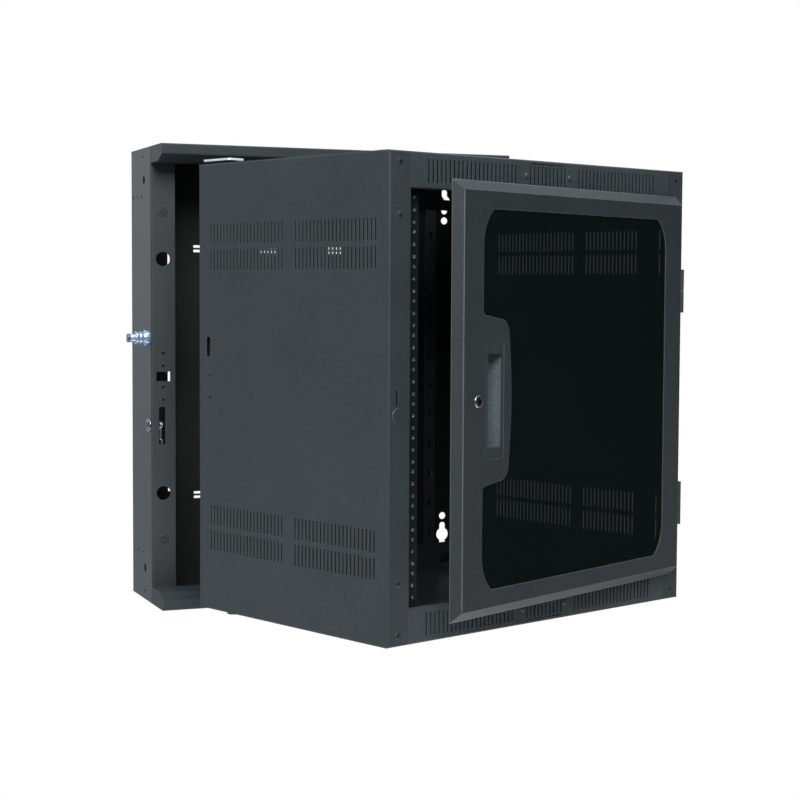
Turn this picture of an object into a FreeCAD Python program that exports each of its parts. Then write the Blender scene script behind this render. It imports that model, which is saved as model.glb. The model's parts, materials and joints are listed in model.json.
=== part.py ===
import FreeCAD, Part
import math
import os

Vector = FreeCAD.Vector
ALONG_X = Vector(1, 0, 0)
ALONG_Y = Vector(0, 1, 0)
ALONG_Z = Vector(0, 0, 1)

# Swing-out wall rack for 19-inch equipment, in millimetres.
# The wall is the plane y = 0, the front faces -Y and the origin is the centre of the wall holes.

# Driving sizes of the three sections
sheet = 1.5
bend = 1.0
pan_width = 574.0
pan_height = 706.0
pan_depth = 127.0
cabinet_width = 586.0
cabinet_height = 635.0
cabinet_depth = 406.0
cabinet_drop = 5.5
section_gap = 6.0
door_width = 533.4
door_height = 558.8
door_depth = 10.8
door_gap = 1.2
door_left = -258.9

# Pose: how far the cabinet and the door stand open
cabinet_open = 20.5
door_open = 7.7

# Swing pivots of the cabinet
pivot_inset = 12.0
pivot_reach = 38.0
pivot_radius = 4.0
running_clearance = 0.05

# Back pan
flange_width = 38.0
header_depth = 196.0
header_band = 15.9
header_root = 25.4
header_chamfer = 23.0
wall_hole_radius = 6.0
wall_hole_x = 257.2
wall_hole_z = 254.0
keyhole_neck = 10.7
keyhole_radius = 11.0
keyhole_rise = 32.0
tie_slot_x = (57.15, 171.45)
tie_slot_z = 200.5
tie_slot_split = 3.6
tie_slot_length = 28.0
tie_slot_width = 4.0
tool_slot_x = 226.5
tool_slot_z = 179.0
tool_slot_width = 4.0
tool_slot_height = 28.0
cable_hole_z = 181.0
cable_hole_radius = 11.1
small_hole_radius = 2.2
small_hole_z = (16.5, 36.0)
window_hole_width = 22.0
window_hole_height = 15.0
side_hole = (78.0, 339.5)
side_port = (83.0, 303.5)
side_port_across = 14.0
side_port_sides = 12
side_dot_y = (13.0, 40.0, 69.5)
side_dot_z = 279.5

# Lacing bar on the hinge side of the pan
bar_x = 226.0
bar_width = 20.0
bar_thickness = 2.0
bar_standoff = 14.0
bar_half_length = 300.0
bar_foot = 16.0
bar_ramp = 8.0
bar_pitch = 25.4
bar_steps = 11
bar_hole_radius = 2.5
bar_slot_height = 12.0

# Key lock of the pan, with a hook that swings through the flange
lock_y = -114.0
lock_z = -76.0
lock_bezel_radius = 10.7
lock_bezel_height = 4.0
lock_body_radius = 8.0
lock_plug_radius = 5.5
key_slot_depth = 3.0
key_slot_half = 0.7
lock_nut_across = 20.0
lock_nut_height = 5.0
hook_x = -272.0
hook_thickness = 3.0
hook_half_width = 4.5
hook_length = 27.5
hook_barb_start = 22.0
hook_barb_height = 12.5
latch_slot_width = 10.0
latch_slot_height = 58.0
latch_slot_x = 270.0
catch_slot_width = 12.0
catch_slot_low = 106.0
catch_slot_high = 70.0

# Push-in latch of the pan
latch_y = -113.0
latch_z = 59.5
latch_flange_radius = 12.0
latch_flange_height = 7.3
latch_sleeve_radius = 10.0
latch_sleeve_height = 14.1
latch_neck_radius = 8.5
latch_neck_length = 7.0
latch_nut_across = 21.0
latch_nut_height = 4.5
plunger_radius = 7.0
plunger_head_length = 6.6
plunger_head_inside = 6.4
plunger_groove_radius = 5.5
plunger_groove_length = 2.8
plunger_cap_radius = 6.7
plunger_cap_length = 3.5
bolt_radius = 4.0
bolt_tip_x = -251.0
keeper_x = -244.5
keeper_thickness = 2.0
keeper_half_height = 12.5
keeper_hole_radius = 5.2
keeper_reach = 104.0
keeper_foot_x = -290.0
spring_wire = 1.2
spring_radius = 5.6
spring_turns = 5
spring_sides = 8

# Cabinet sheets
column_width = 36.5
column_lip = 7.0
rear_flange = 35.0
strip_height = 47.0
rear_drop = 48.5
rear_port_x = (186.0, 241.0)
rear_port_height = 19.0
rear_port_margin = 17.0
rear_port_corner = 5.6
vent_slot = 3.0
vent_count = 22
vent_field = 164.0
vent_field_starts = (25.5, 215.5)
vent_row_height = 28.7
vent_row_bar = 7.5
vent_center_z = 200.0
strip_vent_low = 278.6
strip_vent_high = 309.2
strip_vent_inner = 62.0
strip_center_half = 36.0
strip_center_count = 10
strip_thin_slot = (70.0, 1.5)
strip_thin_z = 312.3
strip_screw_x = 42.5
strip_screw_z = 296.0
column_screw_x = 275.0
column_screw_z = (303.5, 235.5)
column_slot_x = 278.5
column_slot_width = 3.0
column_slot_z = (-5.9, 13.6)
rear_slot_depth = (379.7, 388.6)
rear_slot_z = (44.3, 72.6)
rear_hole_depth = 380.0
rear_hole_z = (17.4, -13.4)

# Rack rails
rail_setback = 19.0
rail_sheet = 2.0
rail_inner_x = 225.7
rail_outer_x = 259.0
rail_web = 35.0
rail_hole_x = 232.55
rail_hole_radius = 2.4
rack_unit = 44.45
rack_units = 12
rack_unit_holes = (6.35, 22.225, 38.1)
foot_width = 24.0
foot_depth = 26.0
foot_height = 20.0

# Pivot plates, glides and screws
plate_thickness = 3.0
plate_from_rear = (4.0, 66.0)
plate_from_side = (4.0, 32.0)
spacer_height = 4.0
spacer_margin = 6.0
thrust_collar_radius = 10.0
thrust_clearance = 0.2
pin_rise = 8.0
pin_head_radius = 7.0
pin_head_height = 6.0
pin_tail = 10.0
pivot_nut_across = 13.0
pivot_nut_height = 6.0
glide_radius = 11.0
glide_foot_radius = 9.0
glide_height = 4.0
glide_from_side = 15.0
glide_from_rear = 62.0
screw_shank_radius = 2.0
screw_length = 8.0
dome_radius = 4.2
dome_height = 2.2
flat_head_radius = 4.8
flat_head_height = 0.8
screw_head_sides = 8

# Door
bevel = 12.6
window_left = 53.0
window_right = 490.0
window_half_height = 244.0
window_arc = 55.0
window_arc_sweep = 53.0
bulge_right = 107.0
bulge_peak = 117.2
bulge_root = 110.0
bulge_shoulder = 102.0
bulge_root_fillet = 6.0
bulge_corner = 18.0
bulge_side_radius = 660.0
pane_thickness = 3.0
pane_overlap = 7.5
clip_width = 16.0
clip_reach = 12.0
clip_sheet = 1.5
clip_inset = 4.0
cup_left = 59.0
cup_right = 97.0
cup_half_height = 74.5
cup_depth = 20.0
cup_floor_left = 66.0
cup_floor_right = 93.0
cup_floor_half = 62.0
cup_wall = 1.5
cup_rim = 4.0
door_lock_x = 43.0
door_bezel_radius = 8.5
door_bezel_height = 2.5
door_body_radius = 7.0
door_body_length = 21.0
door_plug_radius = 4.8
door_nut_across = 16.0
door_nut_height = 4.0
door_cam_length = 50.0
door_cam_half_width = 6.5
door_cam_thickness = 2.5
cam_screw_radius = 3.8
cam_screw_height = 2.5

# Lift-off door hinges
hinge_x = 280.0
hinge_forward = 8.0
hinge_z = 141.4
hinge_height = 31.5
hinge_split = 0.4
knuckle_radius = 5.0
hinge_pin_radius = 2.5
hinge_leaf = 2.0
hinge_leaf_right = 291.0
hinge_web = 3.0

# Planes and edges that follow from the driving sizes
pan_half = pan_width / 2
pan_top = pan_height / 2
header_underside = pan_top - header_root
rear_plane = -pan_depth - section_gap
front_plane = rear_plane - cabinet_depth
cabinet_half = cabinet_width / 2
cabinet_top = cabinet_height / 2
door_rear = front_plane - door_gap
door_face = door_rear - door_depth
door_right = door_left + door_width
pivot = Vector(pan_half - pivot_inset, -pan_depth - pivot_reach, 0)
door_axis = Vector(hinge_x, front_plane - hinge_forward, 0)
header_underside_local = header_underside + cabinet_drop
hinge_heights = (hinge_z, -hinge_z - hinge_height)


def in_plan(a, b):
    """Point of a profile drawn in plan."""
    return Vector(a, b, 0)


def in_end_view(a, b):
    """Point of a profile drawn from the side: depth, then height."""
    return Vector(0, a, b)


def in_front_view(a, b):
    """Point of a profile drawn from the front: width, then height."""
    return Vector(a, 0, b)


def line(start, end):
    return Part.LineSegment(start, end).toShape()


def box(x_range, y_range, z_range):
    low = Vector(min(x_range), min(y_range), min(z_range))
    high = Vector(max(x_range), max(y_range), max(z_range))
    size = high - low
    return Part.makeBox(size.x, size.y, size.z, low)


def rod(center, axis, radius, length):
    return Part.makeCylinder(radius, length, center, axis)


def flat_sided(center, axis, across, length, sides=6):
    """Prism with flat sides, measured across them."""
    start = ALONG_Z if abs(axis.z) < 1 else ALONG_X
    corner = start * (across / 2 / math.cos(math.pi / sides))
    turns = [FreeCAD.Rotation(axis, 360 / sides * step) for step in range(sides + 1)]
    ring = Part.makePolygon([center + turn.multVec(corner) for turn in turns])
    return Part.Face(ring).extrude(axis * length)


def small_hole(center, axis, radius, length):
    """Hole of a few millimetres that repeats, kept to six walls."""
    return flat_sided(center, axis, 2 * radius, length)


def nut(center, axis, across, length, hole):
    return flat_sided(center, axis, across, length).cut(rod(center, axis, hole, length))


def screw(seat, inward, head_radius, head_height, grip):
    """Screw seated at a point: an eight-sided head outside, its shank running inward."""
    head = flat_sided(seat - inward * head_height, inward, 2 * head_radius, head_height, screw_head_sides)
    shank = flat_sided(seat, inward, 2 * screw_shank_radius, grip)
    return head.fuse(shank)


def mirrored_x(shape):
    return shape.mirror(Vector(), ALONG_X)


def mirrored_z(shape):
    return shape.mirror(Vector(), ALONG_Z)


def both_sides(shapes):
    return shapes + [mirrored_x(shape) for shape in shapes]


def four_ways(shape):
    return [shape, mirrored_x(shape), mirrored_z(shape), mirrored_x(mirrored_z(shape))]


def direction(start, end):
    length = math.hypot(end[0] - start[0], end[1] - start[1])
    return ((end[0] - start[0]) / length, (end[1] - start[1]) / length)


def path_edges(points, radii, place):
    """Edges along a polyline whose inner corners are rounded to the given radii."""
    edges = []
    start = place(*points[0])
    for index in range(1, len(points) - 1):
        corner = place(*points[index])
        before = place(*direction(points[index - 1], points[index]))
        after = place(*direction(points[index], points[index + 1]))
        half_turn = before.getAngle(after) / 2
        radius = radii[index - 1]
        reach = radius * math.tan(half_turn)
        bulge = radius / math.cos(half_turn) - radius
        first = corner - before * reach
        last = corner + after * reach
        middle = corner + (after - before).normalize() * bulge
        edges.append(line(start, first))
        edges.append(Part.Arc(first, middle, last).toShape())
        start = last
    edges.append(line(start, place(*points[-1])))
    return edges


def offset_left(points, distance):
    """The same polyline moved sideways to its left."""
    steps = [direction(a, b) for a, b in zip(points, points[1:])]
    normals = [(-step[1], step[0]) for step in steps]
    pairs = zip([normals[0]] + normals, normals + [normals[-1]])
    moved = []
    for point, (one, two) in zip(points, pairs):
        scale = distance / (1 + one[0] * two[0] + one[1] * two[1])
        moved.append((point[0] + (one[0] + two[0]) * scale, point[1] + (one[1] + two[1]) * scale))
    return moved


def folded_sheet(points, thickness, place, run):
    """Sheet metal folded along a polyline: its skin is the line, its thickness lies to the left."""
    skin_radii = []
    inner_radii = []
    for a, b, c in zip(points, points[1:], points[2:]):
        one = direction(a, b)
        two = direction(b, c)
        turns_left = one[0] * two[1] - one[1] * two[0] > 0
        skin_radii.append(bend + thickness if turns_left else bend)
        inner_radii.append(bend if turns_left else bend + thickness)
    inner = offset_left(points, thickness)
    edges = path_edges(points, skin_radii, place)
    edges.append(line(place(*points[-1]), place(*inner[-1])))
    edges += path_edges(inner[::-1], inner_radii[::-1], place)
    edges.append(line(place(*inner[0]), place(*points[0])))
    return Part.Face(Part.Wire(edges)).extrude(run)


def prism(points, place, run):
    corners = [place(*point) for point in points]
    return Part.Face(Part.makePolygon(corners + corners[:1])).extrude(run)


def sharp_fold(points, thickness, place, run):
    """Small bracket bent from strip, with sharp folds; its thickness lies to the left."""
    return prism(points + offset_left(points, thickness)[::-1], place, run)


def tapered_block(front, back):
    """Block between two rectangles at two depths, each given as depth, x range and z range."""
    y, x, z = front
    y_back, x_back, z_back = back
    return Part.makeWedge(x[0], y, z[0], z_back[0], x_back[0], x[1], y_back, z[1], z_back[1], x_back[1])


def revolved(profile, center, axis):
    """Solid of revolution from (distance along the axis, radius) corners."""
    side = ALONG_Z if abs(axis.z) < 1 else ALONG_X
    corners = [center + axis * along + side * radius for along, radius in profile]
    face = Part.Face(Part.makePolygon(corners + corners[:1]))
    return face.revolve(center, axis, 360)


# Back pan

def wall_openings():
    """Holes of the pan's back: wall holes, keyholes, tie slots and tool slots."""
    through = (-2 * sheet, sheet)
    depth = through[1] - through[0]
    wide_z = wall_hole_z + keyhole_rise
    wall_hole = rod(Vector(wall_hole_x, through[0], wall_hole_z), ALONG_Y, wall_hole_radius, depth)
    wide_hole = rod(Vector(wall_hole_x, through[0], wide_z), ALONG_Y, keyhole_radius, depth)
    neck_reach = keyhole_rise - keyhole_radius - keyhole_neck / 2
    neck_z = (wide_z - neck_reach, wide_z + neck_reach)
    necks = [rod(Vector(wall_hole_x, through[0], z), ALONG_Y, keyhole_neck / 2, depth) for z in neck_z]
    neck_x = (wall_hole_x - keyhole_neck / 2, wall_hole_x + keyhole_neck / 2)
    necks.append(box(neck_x, through, neck_z))
    keyhole = wide_hole.fuse(necks).removeSplitter()
    cuts = four_ways(wall_hole) + four_ways(keyhole)
    for x in tie_slot_x:
        for z in (tie_slot_z - tie_slot_split, tie_slot_z + tie_slot_split):
            slot_x = (x - tie_slot_length / 2, x + tie_slot_length / 2)
            slot_z = (z - tie_slot_width / 2, z + tie_slot_width / 2)
            cuts += four_ways(box(slot_x, through, slot_z))
    for z in (-tool_slot_z, 0, tool_slot_z):
        slot_x = (tool_slot_x - tool_slot_width / 2, tool_slot_x + tool_slot_width / 2)
        slot_z = (z - tool_slot_height / 2, z + tool_slot_height / 2)
        cuts += both_sides([box(slot_x, through, slot_z)])
    return cuts


def flange_openings():
    """Holes of the pan's front flanges."""
    middle = pan_half - flange_width / 2
    through = (-pan_depth - sheet, -pan_depth + 2 * sheet)
    depth = through[1] - through[0]
    cuts = four_ways(rod(Vector(middle, through[0], cable_hole_z), ALONG_Y, cable_hole_radius, depth))
    for z in small_hole_z:
        cuts += four_ways(small_hole(Vector(middle, through[0], z), ALONG_Y, small_hole_radius, depth))
    hole_x = (middle - window_hole_width / 2, middle + window_hole_width / 2)
    hole_z = (-window_hole_height / 2, window_hole_height / 2)
    latch_x = (latch_slot_x - latch_slot_width / 2, latch_slot_x + latch_slot_width / 2)
    latch_height = (lock_z - latch_slot_height / 2, lock_z + latch_slot_height / 2)
    cuts += both_sides([box(hole_x, through, hole_z), box(latch_x, through, latch_height)])
    return cuts


def side_openings():
    """Holes of the pan's folded sides."""
    start = pan_half - 2 * sheet
    depth = 3 * sheet
    round_holes = [side_hole] + [(y, side_dot_z) for y in side_dot_y]
    cuts = []
    for y, z in round_holes:
        cuts += four_ways(small_hole(Vector(start, -y, z), ALONG_X, small_hole_radius, depth))
    port_start = Vector(start, -side_port[0], side_port[1])
    cuts += four_ways(flat_sided(port_start, ALONG_X, side_port_across, depth, side_port_sides))
    cuts.append(rod(Vector(-start - depth, lock_y, lock_z), ALONG_X, lock_body_radius, depth))
    cuts.append(rod(Vector(-start - depth, latch_y, latch_z), ALONG_X, latch_neck_radius, depth))
    return cuts


def pan_tray():
    inner = pan_half - flange_width
    outline = [(inner, -pan_depth), (pan_half, -pan_depth), (pan_half, 0)]
    outline += [(-x, y) for x, y in reversed(outline)]
    height = pan_top - sheet
    tray = folded_sheet(outline, sheet, in_plan, ALONG_Z * (2 * height))
    tray.translate(ALONG_Z * -height)
    return tray.cut(wall_openings() + flange_openings() + side_openings())


def pan_top_header():
    """Folded box header that carries the pivots, with its ends closed."""
    nose = pan_top - header_band
    heel = -header_depth + header_chamfer
    fold = [(0, pan_top), (-header_depth, pan_top), (-header_depth, nose)]
    fold += [(heel, header_underside), (-pan_depth, header_underside)]
    header = folded_sheet(fold, sheet, in_end_view, ALONG_X * pan_width)
    header.translate(ALONG_X * -pan_half)
    end = [(-pan_depth, pan_top - sheet), (-header_depth + sheet, pan_top - sheet)]
    end += [(-header_depth + sheet, nose), (heel, header_underside + sheet / 2)]
    end += [(-pan_depth, header_underside + sheet / 2)]
    gusset = prism(end, in_end_view, ALONG_X * sheet)
    gusset.translate(ALONG_X * -pan_half)
    header = header.fuse(both_sides([gusset])).removeSplitter()
    hole_start = Vector(pivot.x, pivot.y, header_underside - sheet)
    return header.cut(rod(hole_start, ALONG_Z, pivot_radius + running_clearance, 3 * sheet))


def lacing_bar():
    """Strip joggled off the pan's back, with round and oblong holes by turns."""
    foot_y = -sheet
    face_y = -sheet - bar_standoff
    ramp_end = bar_half_length
    ramp_start = bar_half_length + bar_ramp
    half = [(face_y, ramp_end), (foot_y, ramp_start), (foot_y, ramp_start + bar_foot)]
    outline = [(y, -z) for y, z in reversed(half)] + half
    bar = folded_sheet(outline, bar_thickness, in_end_view, ALONG_X * bar_width)
    bar.translate(ALONG_X * (bar_x - bar_width / 2))
    start_y = face_y - 2 * bar_thickness
    depth = 3 * bar_thickness
    holes = [foot_hole(z) for z in (-1, 1)]
    for step in range(-bar_steps, bar_steps + 1):
        z = step * bar_pitch
        if step % 2 == 0:
            holes.append(small_hole(Vector(bar_x, start_y, z), ALONG_Y, bar_hole_radius, depth))
        else:
            slot_x = (bar_x - bar_hole_radius, bar_x + bar_hole_radius)
            slot_z = (z - bar_slot_height / 2, z + bar_slot_height / 2)
            holes.append(box(slot_x, (start_y, start_y + depth), slot_z))
    return bar.cut(holes)


def foot_hole(side):
    """Screw hole in one foot of the lacing bar."""
    z = side * (bar_half_length + bar_ramp + bar_foot / 2)
    start = Vector(bar_x, -sheet - 2 * bar_thickness, z)
    return small_hole(start, ALONG_Y, screw_shank_radius, 3 * bar_thickness)


def lacing_bar_screws():
    z = bar_half_length + bar_ramp + bar_foot / 2
    seat = Vector(bar_x, -sheet - bar_thickness, z)
    upper = screw(seat, ALONG_Y, dome_radius, dome_height, bar_thickness)
    return Part.makeCompound([upper, mirrored_z(upper)])


def lower_pivot_pin():
    """Shouldered pin bolted to the bottom header, whose collar carries the cabinet."""
    floor = -header_underside
    collar_top = -cabinet_top - cabinet_drop - thrust_clearance
    profile = [(floor - sheet - pin_tail, 0), (floor - sheet - pin_tail, pivot_radius)]
    profile += [(floor, pivot_radius), (floor, thrust_collar_radius)]
    profile += [(collar_top, thrust_collar_radius), (collar_top, pivot_radius)]
    top = collar_top + pin_tail
    profile += [(top, pivot_radius), (top, 0)]
    return revolved(profile, Vector(pivot.x, pivot.y, 0), ALONG_Z)


def pan_nuts():
    """Nuts inside the pan: of the key lock, the push-in latch and the lower pivot pin."""
    below = Vector(pivot.x, pivot.y, -header_underside - sheet - pivot_nut_height)
    inside = ALONG_X * sheet
    nuts = [nut(below, ALONG_Z, pivot_nut_across, pivot_nut_height, pivot_radius)]
    nuts.append(nut(pan_lock_seat + inside, ALONG_X, lock_nut_across, lock_nut_height, lock_body_radius))
    nuts.append(nut(latch_seat + inside, ALONG_X, latch_nut_across, latch_nut_height, latch_neck_radius))
    return Part.makeCompound(nuts)


# Key lock of the pan

def lock_barrel(seat, inward, bezel, body, wall, plug):
    """Lock body: a chamfered bezel outside the sheet and a barrel inside, bored for the plug."""
    bezel_radius, bezel_height = bezel
    body_radius, body_length = body
    rim = bezel_height / 4
    profile = [(-bezel_height, plug), (-bezel_height, bezel_radius - rim)]
    profile += [(-bezel_height + rim, bezel_radius), (0, bezel_radius)]
    profile += [(0, body_radius), (wall + body_length, body_radius)]
    profile += [(wall + body_length, plug)]
    return revolved(profile, seat, inward)


def lock_plug(seat, inward, front, back, radius):
    """Turning plug with a key slot across its face."""
    plug = rod(seat - inward * front, inward, radius, front + back)
    corner = inward * key_slot_depth + inward.cross(ALONG_Z) * key_slot_half + ALONG_Z * (radius * 0.6)
    key = box((-corner.x, corner.x), (-corner.y, corner.y), (-corner.z, corner.z))
    key.translate(seat - inward * front)
    return plug.cut(key)


pan_lock_seat = Vector(-pan_half, lock_y, lock_z)
pan_lock_depth = hook_x + pan_half


def pan_lock_body():
    bezel = (lock_bezel_radius, lock_bezel_height)
    body = (lock_body_radius, pan_lock_depth - sheet - running_clearance)
    return lock_barrel(pan_lock_seat, ALONG_X, bezel, body, sheet, lock_plug_radius + running_clearance)


def pan_lock_plug():
    return lock_plug(pan_lock_seat, ALONG_X, lock_bezel_height, pan_lock_depth, lock_plug_radius)


def pan_lock_hook():
    """Hooked cam, pointing down when unlocked; its barb catches behind the cabinet's flange."""
    outline = [(hook_half_width, hook_half_width), (-hook_half_width, hook_half_width)]
    outline += [(-hook_half_width, -hook_barb_start), (-hook_barb_height, -hook_barb_start)]
    outline += [(-hook_barb_height, -hook_length), (hook_half_width, -hook_length)]
    arm = prism(outline, in_end_view, ALONG_X * hook_thickness)
    hub = rod(Vector(), ALONG_X, lock_plug_radius + sheet, hook_thickness)
    hook = arm.fuse(hub).removeSplitter()
    hook.translate(Vector(hook_x, lock_y, lock_z))
    screw_hole = small_hole(Vector(hook_x, lock_y, lock_z), ALONG_X, screw_shank_radius, hook_thickness)
    return hook.cut(screw_hole)


def pan_lock_screw():
    seat = Vector(hook_x + hook_thickness, lock_y, lock_z)
    return screw(seat, ALONG_X * -1, cam_screw_radius, cam_screw_height, hook_thickness)


# Push-in latch of the pan

latch_seat = Vector(-pan_half, latch_y, latch_z)
sleeve_mouth = -latch_flange_height - latch_sleeve_height
latch_floor = sheet + latch_neck_length / 2


def latch_sleeve():
    """Flanged sleeve bored for the plunger's head, with a neck through the pan's side."""
    bore = plunger_radius + running_clearance
    bolt_bore = bolt_radius + running_clearance
    profile = [(sleeve_mouth, bore), (sleeve_mouth, latch_sleeve_radius)]
    profile += [(-latch_flange_height, latch_sleeve_radius), (-latch_flange_height, latch_flange_radius)]
    profile += [(0, latch_flange_radius), (0, latch_neck_radius)]
    profile += [(sheet + latch_neck_length, latch_neck_radius), (sheet + latch_neck_length, bolt_bore)]
    profile += [(latch_floor, bolt_bore), (latch_floor, bore)]
    return revolved(profile, latch_seat, ALONG_X)


def latch_plunger():
    """Push button with a groove and cap, turned in one with the bolt behind it."""
    shoulder = sleeve_mouth + plunger_head_inside
    groove = sleeve_mouth - plunger_head_length
    cap = groove - plunger_groove_length
    tip = bolt_tip_x + pan_half
    profile = [(cap - plunger_cap_length, 0), (cap - plunger_cap_length, plunger_cap_radius)]
    profile += [(cap, plunger_cap_radius), (cap, plunger_groove_radius)]
    profile += [(groove, plunger_groove_radius), (groove, plunger_radius)]
    profile += [(shoulder, plunger_radius), (shoulder, bolt_radius)]
    profile += [(tip, bolt_radius), (tip, 0)]
    return revolved(profile, latch_seat, ALONG_X)


def latch_spring():
    """Return spring of square wire, wound round the bolt at its pressed length."""
    length = spring_turns * spring_wire * 1.2
    start = latch_floor - length - spring_wire
    points = []
    for step in range(spring_turns * spring_sides + 1):
        angle = 2 * math.pi * step / spring_sides
        along = start + length * step / (spring_turns * spring_sides)
        offset = Vector(along, spring_radius * math.cos(angle), spring_radius * math.sin(angle))
        points.append(latch_seat + offset)
    half = spring_wire / 2
    corners = [(-half, -half), (half, -half), (half, half), (-half, half)]
    section = [points[0] + Vector(a, b, 0) for a, b in corners]
    spine = Part.Wire(Part.makePolygon(points))
    wire = Part.makePolygon(section + section[:1])
    return spine.makePipeShell([wire], True, True, 1)


# Cabinet

def vent_field_cuts():
    """Slot-shaped vents of a side panel: two fields at two heights, each of two rows."""
    through = (-cabinet_half - sheet, -cabinet_half + 2 * sheet)
    pitch = (vent_field - vent_slot) / (vent_count - 1)
    row_offset = (vent_row_height + vent_row_bar) / 2
    cuts = []
    for field in vent_field_starts:
        for center in (-vent_center_z, vent_center_z):
            for row in (center - row_offset, center + row_offset):
                row_z = (row - vent_row_height / 2, row + vent_row_height / 2)
                for index in range(vent_count):
                    y = front_plane + field + index * pitch
                    cuts.append(box(through, (y, y + vent_slot), row_z))
    return cuts


def side_panel_cuts():
    """Other openings of the left side panel: rear slot and holes, column openings, catch slot."""
    through = (-cabinet_half - sheet, -cabinet_half + 2 * sheet)
    slot_y = [front_plane + depth for depth in rear_slot_depth]
    cuts = [box(through, slot_y, rear_slot_z)]
    for z in rear_hole_z:
        start = Vector(through[0], front_plane + rear_hole_depth, z)
        cuts.append(small_hole(start, ALONG_X, small_hole_radius, 3 * sheet))
    face = (front_plane - sheet, front_plane + 2 * sheet)
    slot_x = (-column_slot_x - column_slot_width / 2, -column_slot_x + column_slot_width / 2)
    cuts.append(box(slot_x, face, column_slot_z))
    for z in column_screw_z:
        hole = small_hole(Vector(-column_screw_x, face[0], z), ALONG_Y, screw_shank_radius, 3 * sheet)
        cuts += [hole, mirrored_z(hole)]
    catch_x = (-latch_slot_x - catch_slot_width / 2, -latch_slot_x + catch_slot_width / 2)
    catch_z = (-catch_slot_low + cabinet_drop, -catch_slot_high + cabinet_drop)
    cuts.append(box(catch_x, (rear_plane - 2 * sheet, rear_plane + sheet), catch_z))
    return cuts


def left_side_panel():
    column_edge = -cabinet_half + column_width
    flange_edge = -cabinet_half + rear_flange
    outline = [(flange_edge, rear_plane), (-cabinet_half, rear_plane), (-cabinet_half, front_plane)]
    outline += [(column_edge, front_plane)]
    height = cabinet_top - sheet
    panel = folded_sheet(outline, sheet, in_plan, ALONG_Z * (2 * height))
    panel.translate(ALONG_Z * -height)
    lip_z = (strip_height - cabinet_top, cabinet_top - strip_height)
    lip = box((column_edge - sheet, column_edge), (front_plane, front_plane + column_lip), lip_z)
    panel = panel.fuse(lip).removeSplitter()
    return panel.cut(vent_field_cuts() + side_panel_cuts())


def column_screws():
    """Low flat-headed screws that tie the columns to the lid, the floor and the rails' feet."""
    screws = []
    for z in column_screw_z:
        seat = Vector(column_screw_x, front_plane, z)
        screws += four_ways(screw(seat, ALONG_Y, flat_head_radius, flat_head_height, screw_length))
    return Part.makeCompound(screws)


def strip_cuts():
    """Vents and screw holes of the upper front strip."""
    through = (front_plane - sheet, front_plane + 2 * sheet)
    slot_z = (strip_vent_low, strip_vent_high)
    pitch = (vent_field - vent_slot) / (vent_count - 1)
    cuts = []
    for index in range(vent_count):
        x = strip_vent_inner + index * pitch
        cuts += both_sides([box((x, x + vent_slot), through, slot_z)])
    center_pitch = (2 * strip_center_half - vent_slot) / (strip_center_count - 1)
    for index in range(strip_center_count):
        x = -strip_center_half + index * center_pitch
        cuts.append(box((x, x + vent_slot), through, slot_z))
    thin_length, thin_height = strip_thin_slot
    thin_z = (strip_thin_z - thin_height / 2, strip_thin_z + thin_height / 2)
    cuts.append(box((-thin_length / 2, thin_length / 2), through, thin_z))
    start = Vector(strip_screw_x, through[0], strip_screw_z)
    return cuts + both_sides([small_hole(start, ALONG_Y, screw_shank_radius, 3 * sheet)])


def rear_ports():
    """Long cable ports of the rear drop, with clipped corners."""
    low = cabinet_top - rear_drop + rear_port_margin
    high = low + rear_port_height
    inner, outer = rear_port_x
    clip = rear_port_corner
    outline = [(inner, low + clip), (inner + clip, low), (outer - clip, low), (outer, low + clip)]
    outline += [(outer, high - clip), (outer - clip, high), (inner + clip, high), (inner, high - clip)]
    port = prism(outline, in_front_view, ALONG_Y * (3 * sheet))
    port.translate(ALONG_Y * (rear_plane - 2 * sheet))
    return both_sides([port])


def top_panel():
    """Lid folded down into the front strip and the rear drop, with its pivot hole."""
    strip_edge = cabinet_top - strip_height
    outline = [(rear_plane, cabinet_top - rear_drop), (rear_plane, cabinet_top)]
    outline += [(front_plane, cabinet_top), (front_plane, strip_edge)]
    outline += [(front_plane + column_lip, strip_edge)]
    panel = folded_sheet(outline, sheet, in_end_view, ALONG_X * cabinet_width)
    panel.translate(ALONG_X * -cabinet_half)
    below = (strip_edge - sheet, cabinet_top - sheet)
    column_x = (cabinet_half - column_width, cabinet_half + sheet)
    column_y = (front_plane - sheet, front_plane + column_lip + sheet)
    flange_x = (cabinet_half - rear_flange, cabinet_half + sheet)
    flange_y = (rear_plane - bend - 2 * sheet, rear_plane + sheet)
    corners = both_sides([box(column_x, column_y, below), box(flange_x, flange_y, below)])
    hole_start = Vector(pivot.x, pivot.y, cabinet_top - 2 * sheet)
    pin_hole = rod(hole_start, ALONG_Z, pivot_radius + running_clearance, 3 * sheet)
    return panel.cut(corners + [pin_hole] + strip_cuts() + rear_ports())


def strip_screws():
    seat = Vector(strip_screw_x, front_plane, strip_screw_z)
    return Part.makeCompound(four_ways(screw(seat, ALONG_Y, dome_radius, dome_height, screw_length)))


def left_rack_rail():
    """Angle rail with tapped holes at the rack pitch; the end holes, which locate, are round."""
    face = front_plane + rail_setback
    outline = [(-rail_outer_x, face + rail_web), (-rail_outer_x, face), (-rail_inner_x, face)]
    height = cabinet_top - sheet
    rail = folded_sheet(outline, rail_sheet, in_plan, ALONG_Z * (2 * height))
    rail.translate(ALONG_Z * -height)
    bottom = -rack_unit * rack_units / 2
    heights = [bottom + unit * rack_unit + offset for unit in range(rack_units) for offset in rack_unit_holes]
    holes = []
    for z in heights:
        start = Vector(-rail_hole_x, face - rail_sheet, z)
        make = rod if z in (heights[0], heights[-1]) else small_hole
        holes.append(make(start, ALONG_Y, rail_hole_radius, 3 * rail_sheet))
    return rail.cut(holes)


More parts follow.
